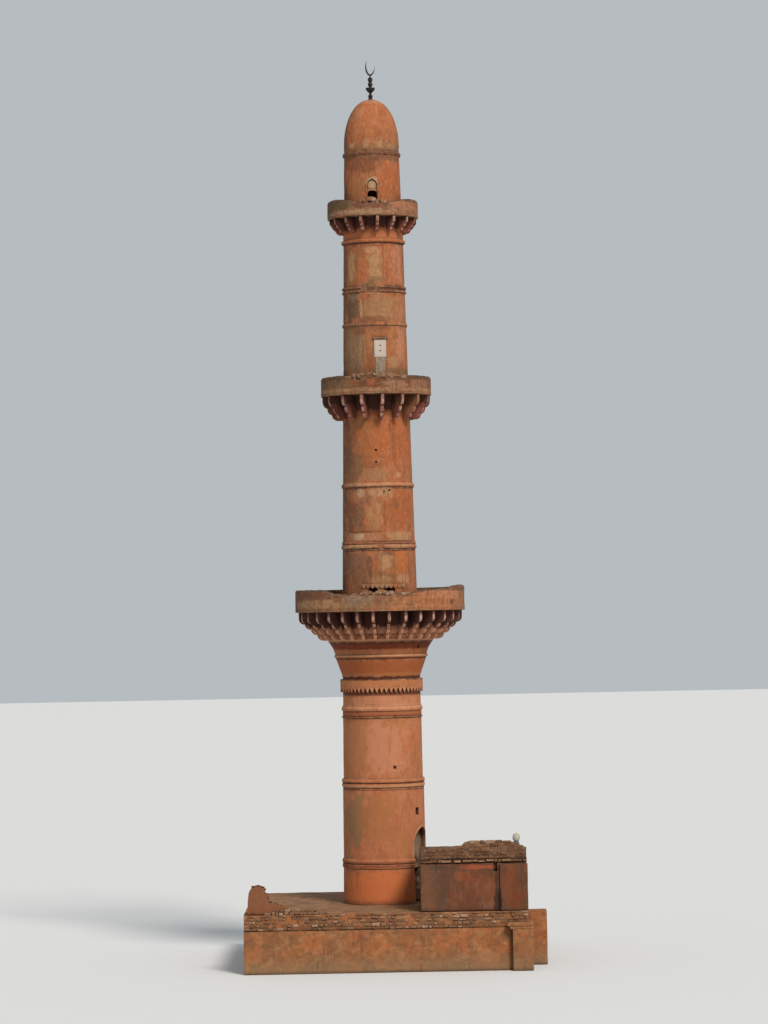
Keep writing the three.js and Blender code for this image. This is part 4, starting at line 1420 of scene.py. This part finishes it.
def bracket_ring(number, room, count, wall, profile, width, arch):
    """The balcony's bracket course: a ring of wall, its brackets and the arches at their feet."""
    chance = random.Random(number)
    points, faces = worn_ring(straight(real_line(wall), WALL_STEP), room, 0.8)
    parts = [(points.tolist(), faces)]
    shape_points, shape_faces = bracket_shape(profile, width)
    for index in range(count):
        azimuth = BRACKET_START + index * 360 / count
        placed = turned_by(shape_points, azimuth + chance.uniform(-0.35, 0.35))
        placed += 0.006 * np.stack([rough(placed, 0.2, 31 + axis) for axis in range(3)], axis=1)
        parts.append((placed.tolist(), shape_faces))
        parts.append(foot_arch(azimuth + 180 / count, *arch))
    name = "carved_brackets_%d" % number
    mesh_piece(name, combined(parts), "bracket_stone", ("balcony_%d_brackets" % number,))


def balcony_floor(number):
    """The floor slab of a balcony, plastered over in one with the parapet's outer face."""
    node = "balcony_%d_floor" % number
    foot, head = levels(node)
    edge = widest("balcony_%d_parapet" % number)
    outer = straight([(edge - 0.02, foot), (edge, foot + 0.012), (edge, head)], 0.04)
    under = [(0.02, foot), (edge * 0.6, foot)]
    walk = [(edge * 0.6, head), (0.02, head)]
    points, faces = turned([*under, *outer, *walk])
    points[:, 2] += np.where(points[:, 2] > head - 0.005, 0.003 * rough(points, 0.4, 41), 0)
    mesh_piece("walk_slab_%d" % number, (points, faces), "weathered_masonry", (node,))


def parapet(number, tops):
    """A parapet worn down to tops, (azimuth, height), where its upper courses have fallen."""
    node = "balcony_%d_parapet" % number
    foot, head = levels(node)
    outer = widest(node)
    inner = min(radius for radius, _ in corners(node)) / math.cos(math.pi / 32)
    line = [(inner, foot), (outer, foot)]
    line += [(outer - 0.004, head - 0.07), (outer - 0.02, head - 0.03), (outer - 0.055, head)]
    line += [(inner + 0.04, head), (inner + 0.01, head - 0.03), (inner, head - 0.07), (inner, foot)]
    facets = 360 if number == 1 else 256
    points, faces = turned(straight(line, 0.045)[:-1], facets)
    flat = points * [1, 1, 0]
    top = np.interp(azimuth_of(points) + 5 * rough(flat, 0.4, 51 + number), *zip(*tops)) * METRE
    fallen = np.clip((head - top) / 0.15, 0, 1)
    ragged = 0.5 + 0.5 * rough(flat, 0.3, 61 + number, 2)
    top -= (0.015 + 0.075 * fallen) * np.round(ragged * 4) / 4 + 0.02 * (0.5 + 0.5 * rough(flat, 0.1, 65))
    share = (points[:, 2] - foot) / (head - foot)
    points[:, 2] = foot + share * (top - foot)
    outward = np.where(radius_of(points) > (inner + outer) / 2, 1.0, -1.0)
    chips = 0.02 * eased(rough(points, 0.3, 71 + number), 0.25, 0.6) * eased(share, 0.55, 0.95)
    points = push_out(points, outward * (plaster_relief(points, 1.2) - chips))
    mesh_piece("worn_parapet_%d" % number, (points, faces), "weathered_masonry", (node,))


def fallen_stones(number, left, right, foot, rise, count):
    """Loose stones along the broken top of a parapet's front, real metres."""
    chance = random.Random(30 + number)
    reach = widest("balcony_%d_parapet" % number) / METRE - 0.12
    worn = {"radius": 0.04, "step": 0.1, "rag": 0.03, "size": 0.12}
    parts = []
    for _ in range(count):
        across = chance.uniform(left, right)
        peak = 1 - abs(2 * (across - left) / (right - left) - 1) ** 2
        height = foot + rise * peak * chance.random()
        size = chance.uniform(0.1, 0.2)
        high = np.array([size, size * 0.9, size * 0.8]) * METRE
        points, faces = block(-high, high, seed=chance.randrange(999), **worn)
        points = turned_by(points, chance.uniform(-40, 40))
        away = math.sqrt(reach**2 - across**2) - chance.uniform(0.0, 0.2)
        points += np.array([across, -away, height]) * METRE
        parts.append((points.tolist(), faces))
    stones = [(part, chance.uniform(0.35, 1.0)) for part in parts]
    toned_piece("fallen_stones_%d" % number, stones, "loose_stone")


def balcony_1():
    lobes = [(4.44, 22.64), (4.88, 23.02), (5.3, 23.38), (5.72, 23.75)]
    profile = lobed_profile(3.9, (4.02, 22.28), lobes, 24.25)
    arch = (360 / 32 * 0.36, 4.1, 22.5, 0.28)
    bracket_ring(1, ROOM_1, 32, [(4.15, 22.75), (4.3, 24.25)], profile, 0.2, arch)
    balcony_floor(1)
    tops = [(-180, 25.9), (-80, 25.85), (-40, 25.8), (-30, 25.62), (-22, 25.5), (-4, 25.46), (10, 25.48)]
    tops += [(22, 25.56), (34, 25.72), (52, 25.85), (72, 26.05), (110, 25.95), (180, 25.9)]
    parapet(1, tops)
    fallen_stones(1, -1.9, 2.0, 25.38, 0.2, 60)


def balcony_2():
    profile = lobed_profile(2.2, (2.84, 37.68), [(3.12, 38.0), (3.45, 38.46), (3.78, 38.95)], 39.3)
    arch = (360 / 16 * 0.32, 2.36, 37.75, 0.36)
    bracket_ring(2, ROOM_2, 16, [(2.35, 37.65), (2.36, 37.8), (2.36, 39.3)], profile, 0.22, arch)
    balcony_floor(2)
    tops = [(-180, 40.65), (-42, 40.66), (-32, 40.56), (-20, 40.46), (0, 40.5), (12, 40.42), (26, 40.54)]
    parapet(2, [*tops, (40, 40.62), (180, 40.65)])
    fallen_stones(2, -2.3, 2.2, 40.42, 0.26, 44)


def balcony_3():
    profile = lobed_profile(1.95, (2.4, 50.73), [(2.66, 50.98), (2.9, 51.24), (3.06, 51.47)], 51.75)
    arch = (360 / 16 * 0.32, 2.1, 50.67, 0.3)
    bracket_ring(3, ROOM_3, 16, [(2.1, 50.25), (2.1, 51.75)], profile, 0.2, arch)
    balcony_floor(3)
    tops = [(-180, 53.0), (-58, 53.04), (-34, 52.92), (-20, 52.74), (0, 52.72), (16, 52.74), (34, 52.84)]
    parapet(3, [*tops, (56, 53.0), (180, 53.0)])
    fallen_stones(3, -0.9, 0.9, 52.62, 0.34, 26)


def storey_2():
    finish = "upper_plaster"
    opening = arch_line(0.7, 23.55, 25.6, 26.1)
    holes = [cutter(opening, 1.0, 4.0, azimuth) for azimuth in (-10.6, 17.4, BACK_DOORWAY)]
    holes.append(putlog_hole(8, 25.72, 2.62, 0.22))
    plaster_drum("storey_2_foot_drum", ROOM_2, finish, holes)
    string_course("string_course_4", ROOM_2, finish, ((0.02, 0.55, 1.0), (0.58, 0.95, 0.6)), (), (-2, 7))
    holes = [putlog_hole(19, 32.65, 2.47, 0.14), putlog_hole(10, 32.55, 2.47, 0.12)]
    plaster_drum("storey_2_middle_drum", ROOM_2, finish, holes)
    roll = [(2.46, 32.85), (2.5, 32.89), (2.54, 32.95), (2.545, 33.03), (2.52, 33.13), (2.44, 33.2)]
    wall = [(2.43, 33.25), (2.35, 37.63), (2.35, 37.65)]
    line = straight(real_line(roll), 0.02) + straight(real_line(wall), WALL_STEP)
    holes = [putlog_hole(-2, 35.45, 2.39, 0.16), putlog_hole(-2, 34.62, 2.4, 0.14)]
    name = "storey_2_upper_drum"
    turned_piece("plaster_" + name, name, line, ROOM_2, finish, 1.0, 0.004, holes)
    scalloped_frieze(finish)


def scalloped_frieze(finish):
    """What is left of a plaster frieze of small hanging scallops at the front of storey 2."""
    parts = []
    pitch = 7.0
    half = 0.48 * pitch
    steps = 6
    for index in range(-4, 6):
        middle = 3.4 + index * pitch
        loops = []
        for proud in (-0.06, 0.045):
            loop = []
            for i in range(steps + 1):
                turn = math.pi * i / steps
                height = (26.05 - 0.2 * math.sin(turn)) * METRE
                loop.append(around(middle - half * math.cos(turn), (2.615 + proud) * METRE, height))
            for side in (half, -half):
                loop.append(around(middle + side, (2.61 + proud) * METRE, 26.16 * METRE))
            loops.append(loop)
        parts.append(tube(loops))
    mesh_piece("scalloped_frieze", combined(parts), finish, smooth=False)


def storey_3():
    finish = "upper_plaster"
    seat = 0.006
    edge = SLAB_HALF + seat
    window = cutter(rectangle(-edge, edge, SLAB_FOOT - seat, SLAB_HEAD + seat), 1.0, 3.0, SLAB_AZIMUTH)
    doorway = cutter(arch_line(0.8, 38.55, 41.15, 41.65), 1.0, 3.0, 180)
    plaster_drum("storey_3_foot_drum", ROOM_3, finish, [window, doorway])
    roll = [(2.24, 44.15), (2.28, 44.17), (2.29, 44.24), (2.28, 44.31), (2.21, 44.36)]
    line = straight(real_line(roll), 0.02)
    line += straight(real_line([(2.2, 44.4), (2.16, 46.45)]), WALL_STEP)
    name = "storey_3_middle_drum"
    turned_piece("plaster_" + name, name, line, ROOM_3, finish, 1.0, 0.006)
    string_course("string_course_5", ROOM_3, finish, ((0.04, 0.36, 1.0), (0.6, 0.96, 0.9)), (), (-22, 9))
    roll = [(2.12, 49.95), (2.22, 49.99), (2.255, 50.09), (2.22, 50.19), (2.12, 50.24), (2.1, 50.25)]
    line = straight(real_line([(2.14, 46.95), (2.1, 49.93)]), WALL_STEP)
    line += straight(real_line(roll), 0.02)
    name = "storey_3_upper_drum"
    turned_piece("plaster_" + name, name, line, ROOM_3, finish, 1.0, 0.006)
    window_slab()


def window_slab():
    """The pale slab in the front window, with two small studs, under a drip stone darkened with painted
    shadow.
    """
    slab = prism(rectangle(-SLAB_HALF, SLAB_HALF, SLAB_FOOT, SLAB_HEAD), 2.1, SLAB_FACE, SLAB_AZIMUTH)
    raised = rectangle(-0.36, 0.36, 41.99, 43.08)
    panel = prism(raised, SLAB_FACE - 0.01, SLAB_FACE + 0.012, SLAB_AZIMUTH)
    mesh_piece("closing_slab", combined([slab, panel]), "pale_slab", ("window_slab",), smooth=False)
    studs = []
    size = 0.045
    for height in (42.37, 42.73):
        turns = np.linspace(0, 2 * math.pi, 9)[:-1]
        outline = [(size * math.cos(turn), height + size * math.sin(turn)) for turn in turns]
        studs.append(prism(outline, SLAB_FACE, SLAB_FACE + 0.035, SLAB_AZIMUTH))
    mesh_piece("slab_studs", combined(studs), "wrought_iron", smooth=False)
    hood = rectangle(-0.5, 0.5, 43.19, 43.31)
    mesh_piece("drip_stone", prism(hood, 2.0, 2.33, SLAB_AZIMUTH), "upper_plaster")
    fill = rectangle(-0.34, 0.34, 39.7, 41.9)
    mesh_piece("blocked_doorway", prism(fill, 2.0, 2.262, SLAB_AZIMUTH), "weathered_masonry")


def storey_4():
    finish = "upper_plaster"
    opening = arch_line(0.66, 50.95, 53.35, 53.6)
    holes = [cutter(opening, 1.0, 3.0, azimuth) for azimuth in (0, BACK_DOORWAY)]
    holes.append(cutter(arch_line(0.76, 53.0, 53.95, 54.45), 1.88, 3.0, 0))
    plaster_drum("storey_4_drum", ROOM_3, finish, holes)
    head = arch_line(0.62, 53.72, 53.95, 54.34)
    mesh_piece("doorway_head", prism(head, 1.8, 1.9, 0), finish, smooth=False)
    mesh_piece("doorway_rim", arched_rim(0.86, 0.72, 53.5, 53.95, 54.5, 54.4), finish)
    string_course("dome_ring", ROOM_3, finish, ((0.06, 0.94, 1.0),))
    dome(finish)


def dome(finish):
    """The plastered dome over its hollow."""
    outer = [(1.92, 56.4), (1.93, 57.0), (1.88, 57.7), (1.76, 58.3), (1.58, 58.86), (1.32, 59.37)]
    outer += [(0.98, 59.8), (0.58, 60.08), (0.17, 60.2)]
    inner = [(0.04, 59.9), (0.5, 59.75), (0.95, 59.4), (1.25, 58.8), (1.45, 58.0), (1.55, 57.2), (1.55, 56.4)]
    line = curved(real_line(outer), WALL_STEP)
    points, faces = turned([*line, *real_line([(0.04, 60.2)]), *curved(real_line(inner), 0.15)])
    outside = len(line) * FACETS
    amount = np.zeros(len(points))
    amount[:outside] = plaster_relief(points[:outside], 0.7)
    points = push_out(points, np.where(radius_of(points) > 0.2, amount, 0))
    mesh_piece("plaster_dome", (points, faces), finish, ("dome",))


def iron_finial():
    """Turned iron: a foot bead, a cup, two balls and the neck under the crescent."""
    line = [(0.17, 60.2), (0.17, 60.26), (0.1, 60.29), (0.14, 60.34), (0.17, 60.43), (0.14, 60.52)]
    line += [(0.09, 60.57), (0.085, 60.66), (0.14, 60.72), (0.25, 60.82), (0.31, 60.92), (0.33, 60.99)]
    line += [(0.31, 61.04), (0.2, 61.03), (0.1, 61.06), (0.09, 61.12), (0.14, 61.17), (0.175, 61.28)]
    line += [(0.14, 61.39), (0.09, 61.44), (0.14, 61.49), (0.18, 61.61), (0.14, 61.73), (0.07, 61.79)]
    line += [(0.05, 61.83), (0.045, 61.9)]
    section = [(0.004, 60.2), *line, (0.004, 61.9)]
    mesh_piece("turned_finial", turned(real_line(section), 40), "wrought_iron", ("finial",))


def crescent():
    """The crescent: a round bar swept along an open oval, thick below and pointed at both tips."""
    steps = 36
    sides = 12
    half_size = np.array([0.335, 0.615])
    centre = 62.5
    loops = []
    for i in range(steps + 1):
        share = i / steps
        angle = math.radians(127 + 238 * share)
        thick = 0.004 + 0.06 * math.sin(math.pi * share)
        deep = 0.006 + 0.036 * math.sin(math.pi * share)
        direction = np.array([math.cos(angle), math.sin(angle)])
        spine = half_size * direction - thick * direction
        loop = []
        for side in range(sides):
            turn = 2 * math.pi * side / sides
            x, z = spine + direction * thick * math.cos(turn)
            loop.append(np.array([x, deep * math.sin(turn), centre + z]) * METRE)
        loops.append(loop)
    mesh_piece("tipped_crescent", tube(loops), "wrought_iron", ("crescent",))


# Masonry blocks and courses.

def stops(low, high, radius, step):
    """Where a rounded block is divided along one axis: close together at both ends."""
    count = max(1, math.ceil((high - low - 2 * radius) / step))
    middle = np.linspace(low + radius, high - radius, count + 1)
    return [low, low + radius * 0.3, *middle, high - radius * 0.3, high]


def block(low, high, radius=0.012, step=0.12, rag=0.006, size=0.25, seed=81):
    """Points and faces of a worn block between two corners, in model metres.

    radius rounds its edges, step divides its faces, and rag and size are the wear's depth and width.
    """
    axes = [stops(low[axis], high[axis], radius, step) for axis in range(3)]
    counts = [len(axis) for axis in axes]
    index = {}
    points = []

    def corner(key):
        if key not in index:
            index[key] = len(points)
            points.append([axes[axis][key[axis]] for axis in range(3)])
        return index[key]

    faces = []
    for axis in range(3):
        one, two = (axis + 1) % 3, (axis + 2) % 3
        for side in (0, counts[axis] - 1):
            for i in range(counts[one] - 1):
                for j in range(counts[two] - 1):
                    face = []
                    for di, dj in ((0, 0), (1, 0), (1, 1), (0, 1)):
                        key = [0, 0, 0]
                        key[axis] = side
                        key[one] = i + di
                        key[two] = j + dj
                        face.append(corner(tuple(key)))
                    faces.append(tuple(face if side else reversed(face)))
    points = np.array(points)
    core = np.clip(points, np.array(low) + radius, np.array(high) - radius)
    away = points - core
    away /= np.maximum(np.linalg.norm(away, axis=1), 1e-9)[:, None]
    points = core + away * radius
    points -= away * (rag * (0.5 + 0.5 * rough(points, size, seed)))[:, None]
    return points, faces


def real_block(x, y, z, **settings):
    """A worn block between real metres along each axis."""
    low, high = zip(x, y, z)
    return block([at * METRE for at in low], [at * METRE for at in high], **settings)


def worn_node(node, finish, name=None, cutters=(), slot=None, **settings):
    """A worn block in place of a box-shaped CAD node."""
    shape = block(*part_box(node), **settings)
    mesh_piece(name or "worn_" + node, shape, finish, (node,), cutters=cutters)


def toned_piece(name, stones, finish):
    """A piece of many stones, each a shape with its own tone from 0 to 1."""
    made = mesh_piece(name, combined([shape for shape, tone in stones]), finish)
    values = [tone for (points, faces), tone in stones for _ in points]
    made.data.attributes.new("tone", "FLOAT", "POINT").data.foreach_set("value", values)


def stone_course(chance, left, right, foot, head, face, depth, widths, proud):
    """One row of irregular stones along the front, up to proud out of line, real metres."""
    worn = {"radius": 0.03, "step": 0.14, "rag": 0.024, "size": 0.14}
    parts = []
    at = left
    while at < right - 0.05:
        width = chance.uniform(*widths)
        end = right if right - at - width < widths[0] else at + width
        x = at + 0.004, end - 0.004
        y = face - chance.uniform(-proud, proud), face + depth
        z = foot + chance.uniform(-0.02, 0.03), head + chance.uniform(-0.05, 0.02)
        parts.append(real_block(x, y, z, seed=chance.randrange(1, 999), **worn))
        at = end
    return parts


def outline_at(outline, x):
    """Height of a broken line of (x, z) corners at x."""
    return np.interp(x, *zip(*outline))


def under_outline(points, outline):
    """Lowers a block so that its top follows a broken line, in ragged steps."""
    low, high = points[:, 2].min(), points[:, 2].max()
    heights = outline_at(outline, points[:, 0] / METRE) * METRE
    heights -= 0.05 * (0.5 + 0.5 * np.round(rough(points * [1, 1, 0], 0.12, 94) * 3) / 3)
    return np.column_stack([points[:, :2], low + (points[:, 2] - low) / (high - low) * (heights - low)])


# Platform.

def platform():
    finish = "base_plaster"
    for side in ("left", "right", "back"):
        worn_node("platform_%s_wall" % side, finish, radius=0.02, step=0.15, rag=0.02, size=0.6)
    worn = {"radius": 0.02, "step": 0.1, "rag": 0.02, "size": 0.4}
    worn_node("platform_fill", "trodden_fill", "platform_core", slot="rubble", **worn)
    worn = {"radius": 0.02, "step": 0.1, "rag": 0.022, "size": 0.5}
    front = -PLATFORM_HALF
    wall = real_block((front, PLATFORM_HALF), (front, -9.0), (0.0, RUBBLE_FOOT), **worn)
    backing = real_block((-9.57, 9.57), (-9.42, -9.0), (2.88, 3.97), radius=0.01, step=0.3)
    mesh_piece("plastered_front", combined([wall, backing]), finish, ("platform_front_wall",))
    rubble_band()
    worn_node("side_buttress", finish, radius=0.03, step=0.12, rag=0.03, size=0.3)
    capped_footing()


def capped_footing():
    """The corner footing: a plastered block with a wider cap towards the middle of the front."""
    back = -PLATFORM_HALF
    edges = {"radius": 0.02, "step": 0.1}
    cap = real_block((8.1, 9.9), (-10.2, back), (2.98, 3.25), rag=0.016, size=0.2, **edges)
    neck = real_block((8.28, 9.88), (-10.17, back), (2.8, 3.0), rag=0.012, size=0.2, **edges)
    body = real_block((8.46, 9.87), (-10.15, back), (0.0, 2.84), rag=0.02, size=0.3, **edges)
    mesh_piece("capped_footing", combined([cap, neck, body]), "base_plaster", ("pier_footing",))


def rubble_band():
    """Bare stones along the top of the front wall, heaped higher beside the ruined wall."""
    chance = random.Random(5)
    parts = []
    foot = RUBBLE_FOOT
    for head in (3.12, 3.38, 3.6, 3.82, 3.99):
        parts += stone_course(chance, -9.55, 9.55, foot, head, -9.48, 0.2, (0.16, 0.6), 0.06)
        foot = head
    parts += stone_course(chance, -8.2, -3.9, 3.93, 4.2, -9.42, 0.5, (0.18, 0.5), 0.06)
    parts += stone_course(chance, -7.4, -4.6, 4.14, 4.4, -9.38, 0.4, (0.18, 0.45), 0.06)
    toned_piece("rubble_band", [(part, chance.random()) for part in parts], "rubble")


def ruined_wall():
    """The stump of a wall at the left corner: plaster over brick, broken down to the right."""
    chance = random.Random(8)
    finish = "red_masonry"
    points, faces = block(*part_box("ruined_wall"), radius=0.015, step=0.035, rag=0.02, size=0.2)
    top = [(-9.3, 4.6), (-9.22, 5.5), (-9.0, 5.88), (-8.5, 5.95), (-8.2, 5.8), (-8.0, 5.3), (-7.85, 4.85)]
    top += [(-7.3, 4.7), (-6.8, 4.55), (-6.5, 4.35), (-6.3, 4.2)]
    mesh_piece("plastered_stump", (under_outline(points, top), faces), finish, ("ruined_wall",))
    worn = {"radius": 0.014, "step": 0.2, "rag": 0.014, "size": 0.1}
    parts = []
    for _ in range(40):
        across = chance.uniform(-9.05, -7.1)
        height = outline_at(top, across) - chance.uniform(0.04, 0.16)
        depth = chance.uniform(-9.2, -8.8)
        size = chance.uniform(0.08, 0.16)
        sides = (across - size, across + size), (depth, depth + 0.2), (height, height + 0.1)
        parts.append(real_block(*sides, seed=chance.randrange(999), **worn))
    bricks = [(part, chance.uniform(0.2, 0.9)) for part in parts]
    toned_piece("stump_bricks", bricks, "broken_brick")


# Annexe.

def annexe():
    finish = "red_masonry"
    worn = {"radius": 0.012, "step": 0.12, "rag": 0.012, "size": 0.4}
    for side in ("left", "right"):
        worn_node("annexe_%s_wall" % side, finish, **worn)
    doorway = box_cutter((5.2, 6.4), (-5.0, -2.0), (3.0, 6.2))
    worn_node("annexe_back_wall", finish, "doorway_wall", [doorway], **worn)
    hole = box_cutter((7.28, 7.56), (-10, -8.9), (6.62, 7.4))
    worn = {"radius": 0.012, "step": 0.07, "rag": 0.022, "size": 0.35}
    worn_node("annexe_front_wall", finish, "fallen_plaster_wall", [hole], **worn)
    worn_node("annexe_corner_pier", finish, radius=0.02, step=0.08, rag=0.016, size=0.3)
    low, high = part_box("annexe_roof")
    annexe_top(low.x / METRE, high.x / METRE, low.z / METRE)


def box_cutter(x, y, z):
    """A box from real metres that a piece is carved with."""
    return cutter(rectangle(*x, *z), -y[1], -y[0], 0)


def annexe_top(left, right, roof):
    """The annexe's roof and parapet between its left and right ends, over its roof's underside."""
    finish = "weathered_masonry"
    top = [(left, 8.05), (2.9, 8.3), (5.25, 8.42), (5.4, 8.68), (7.8, 8.7), (8.95, 8.6), (9.15, 8.3)]
    top.append((right, 8.2))
    deck = real_block((left, right), (-9.05, ANNEXE_BACK), (roof, ROOF_TOP), radius=0.012, step=0.15)
    mesh_piece("worn_annexe_roof", deck, finish, ("annexe_roof",))
    worn = {"radius": 0.03, "step": 0.1, "rag": 0.02, "size": 0.2}
    points, faces = real_block((left + 0.03, right - 0.03), (-9.16, -8.75), (7.46, 8.7), **worn)
    rise = ROOF_TOP, 8.0
    sides = [
        (under_outline(points, top), faces),
        real_block((left, left + 0.45), (-8.8, ANNEXE_BACK), rise, **worn),
        real_block((right - 0.45, right), (-8.8, ANNEXE_BACK), rise, **worn),
        real_block((left, right), (ANNEXE_BACK - 0.45, ANNEXE_BACK), rise, **worn),
    ]
    mesh_piece("worn_annexe_parapet", combined(sides), finish, ("annexe_parapet",))
    chance = random.Random(12)
    stones = parapet_rows(chance, left, right, roof + 0.02, top) + roof_ledge(chance)
    toned_piece("parapet_stones", stones, "broken_brick")
    parapet_knob()


def parapet_rows(chance, left, right, foot, top):
    """Rows of broken masonry before the parapet's core, with the tone of each stone."""
    stones = []
    while foot < 8.6:
        head = foot + chance.uniform(0.2, 0.34)
        for points, faces in stone_course(chance, left, right, foot, head, -9.2, 0.42, (0.22, 0.85), 0.045):
            ends = points[:, 0].min() / METRE, points[:, 0].max() / METRE
            limit = min(outline_at(top, end) for end in ends)
            if foot < limit - 0.14:
                points[:, 2] = np.minimum(points[:, 2], limit * METRE + 0.02 * (points[:, 2] / METRE - foot))
                tone = chance.uniform(0.5, 1.0) if foot > limit - 0.3 else chance.uniform(0.0, 0.86)
                stones.append(((points, faces), tone))
        foot = head
    return stones


def roof_ledge(chance):
    """What is left of the ledge along the roof's edge, with the tone of each stone."""
    stones = []
    at = 2.5
    while at < 9.3:
        end = at + chance.uniform(0.2, 0.7)
        if chance.random() < (0.85 if 3.6 < at < 8.0 else 0.35):
            foot = 7.26 + chance.uniform(-0.03, 0.05)
            sides = (at, min(end, 9.42)), (-9.32, -8.95), (foot, foot + chance.uniform(0.1, 0.17))
            shape = real_block(*sides, radius=0.018, step=0.12, rag=0.018)
            stones.append((shape, chance.uniform(0.8, 1.0)))
        at = end + chance.uniform(0.02, 0.2)
    return stones


def parapet_knob():
    """The round knob near the right end of the parapet."""
    line = [(0.02, 8.4), (0.19, 8.4), (0.2, 8.5), (0.15, 8.58), (0.19, 8.66), (0.235, 8.78), (0.24, 8.92)]
    line += [(0.18, 9.06), (0.02, 9.16)]
    points, faces = turned(real_line(curved(line, 0.06)), 28)
    points += 0.012 * rough(points, 0.12, 97)[:, None]
    points += np.array([8.87, -8.975, 0]) * METRE
    mesh_piece("parapet_knob", (points, faces), "knob_stone")


# Tower, platform and annexe.

storey_1()
balcony_1()
storey_2()
balcony_2()
storey_3()
balcony_3()
storey_4()
iron_finial()
crescent()
platform()
ruined_wall()
annexe()


# Floor, light and camera.

def linked(name, data):
    """A new object in the scene."""
    made = bpy.data.objects.new(name, data)
    bpy.context.scene.collection.objects.link(made)
    return made


def studio_floor():
    name = "studio_floor"
    corners = rectangle(-FLOOR_HALF, FLOOR_HALF, -FLOOR_HALF, FLOOR_HALF)
    mesh = bpy.data.meshes.new(name)
    mesh.from_pydata([(x, y, 0) for x, y in corners], [], [(0, 1, 2, 3)])
    material, tree, shader = start_material(name)
    feed(tree, shader.inputs["Base Color"], FLOOR_COLOUR)
    feed(tree, shader.inputs["Roughness"], 0.9)
    mesh.materials.append(material)
    linked(name, mesh)


def studio_light():
    """A soft sun from the front right, and an even sky."""
    data = bpy.data.lights.new("studio_sun", "SUN")
    data.energy = SUN_STRENGTH
    data.angle = math.radians(16)
    data.color = SUN_COLOUR
    sun = linked("studio_sun", data)
    height = math.radians(SUN_HEIGHT)
    toward = Vector(around(SUN_AZIMUTH, math.cos(height), math.sin(height)))
    sun.rotation_euler = toward.to_track_quat("Z", "Y").to_euler()
    world = bpy.data.worlds.new("studio_world")
    bpy.context.scene.world = world
    world.use_nodes = True
    back = world.node_tree.nodes["Background"]
    back.inputs["Color"].default_value = SKY_COLOUR
    back.inputs["Strength"].default_value = 1.0
    bpy.context.scene.view_settings.view_transform = "Standard"


def camera():
    """The viewpoint of the picture: far off, a little above the platform, rolled slightly."""
    data = bpy.data.cameras.new("camera")
    data.lens = CAMERA_LENS
    data.sensor_width = 36
    data.clip_end = 1000
    made = linked("camera", data)
    made.location = CAMERA_PLACE
    aim = Vector(CAMERA_AIM) - Vector(CAMERA_PLACE)
    made.rotation_euler = aim.to_track_quat("-Z", "Y").to_euler()
    made.rotation_euler.rotate_axis("Z", math.radians(CAMERA_ROLL))
    bpy.context.scene.camera = made


studio_floor()
studio_light()
camera()
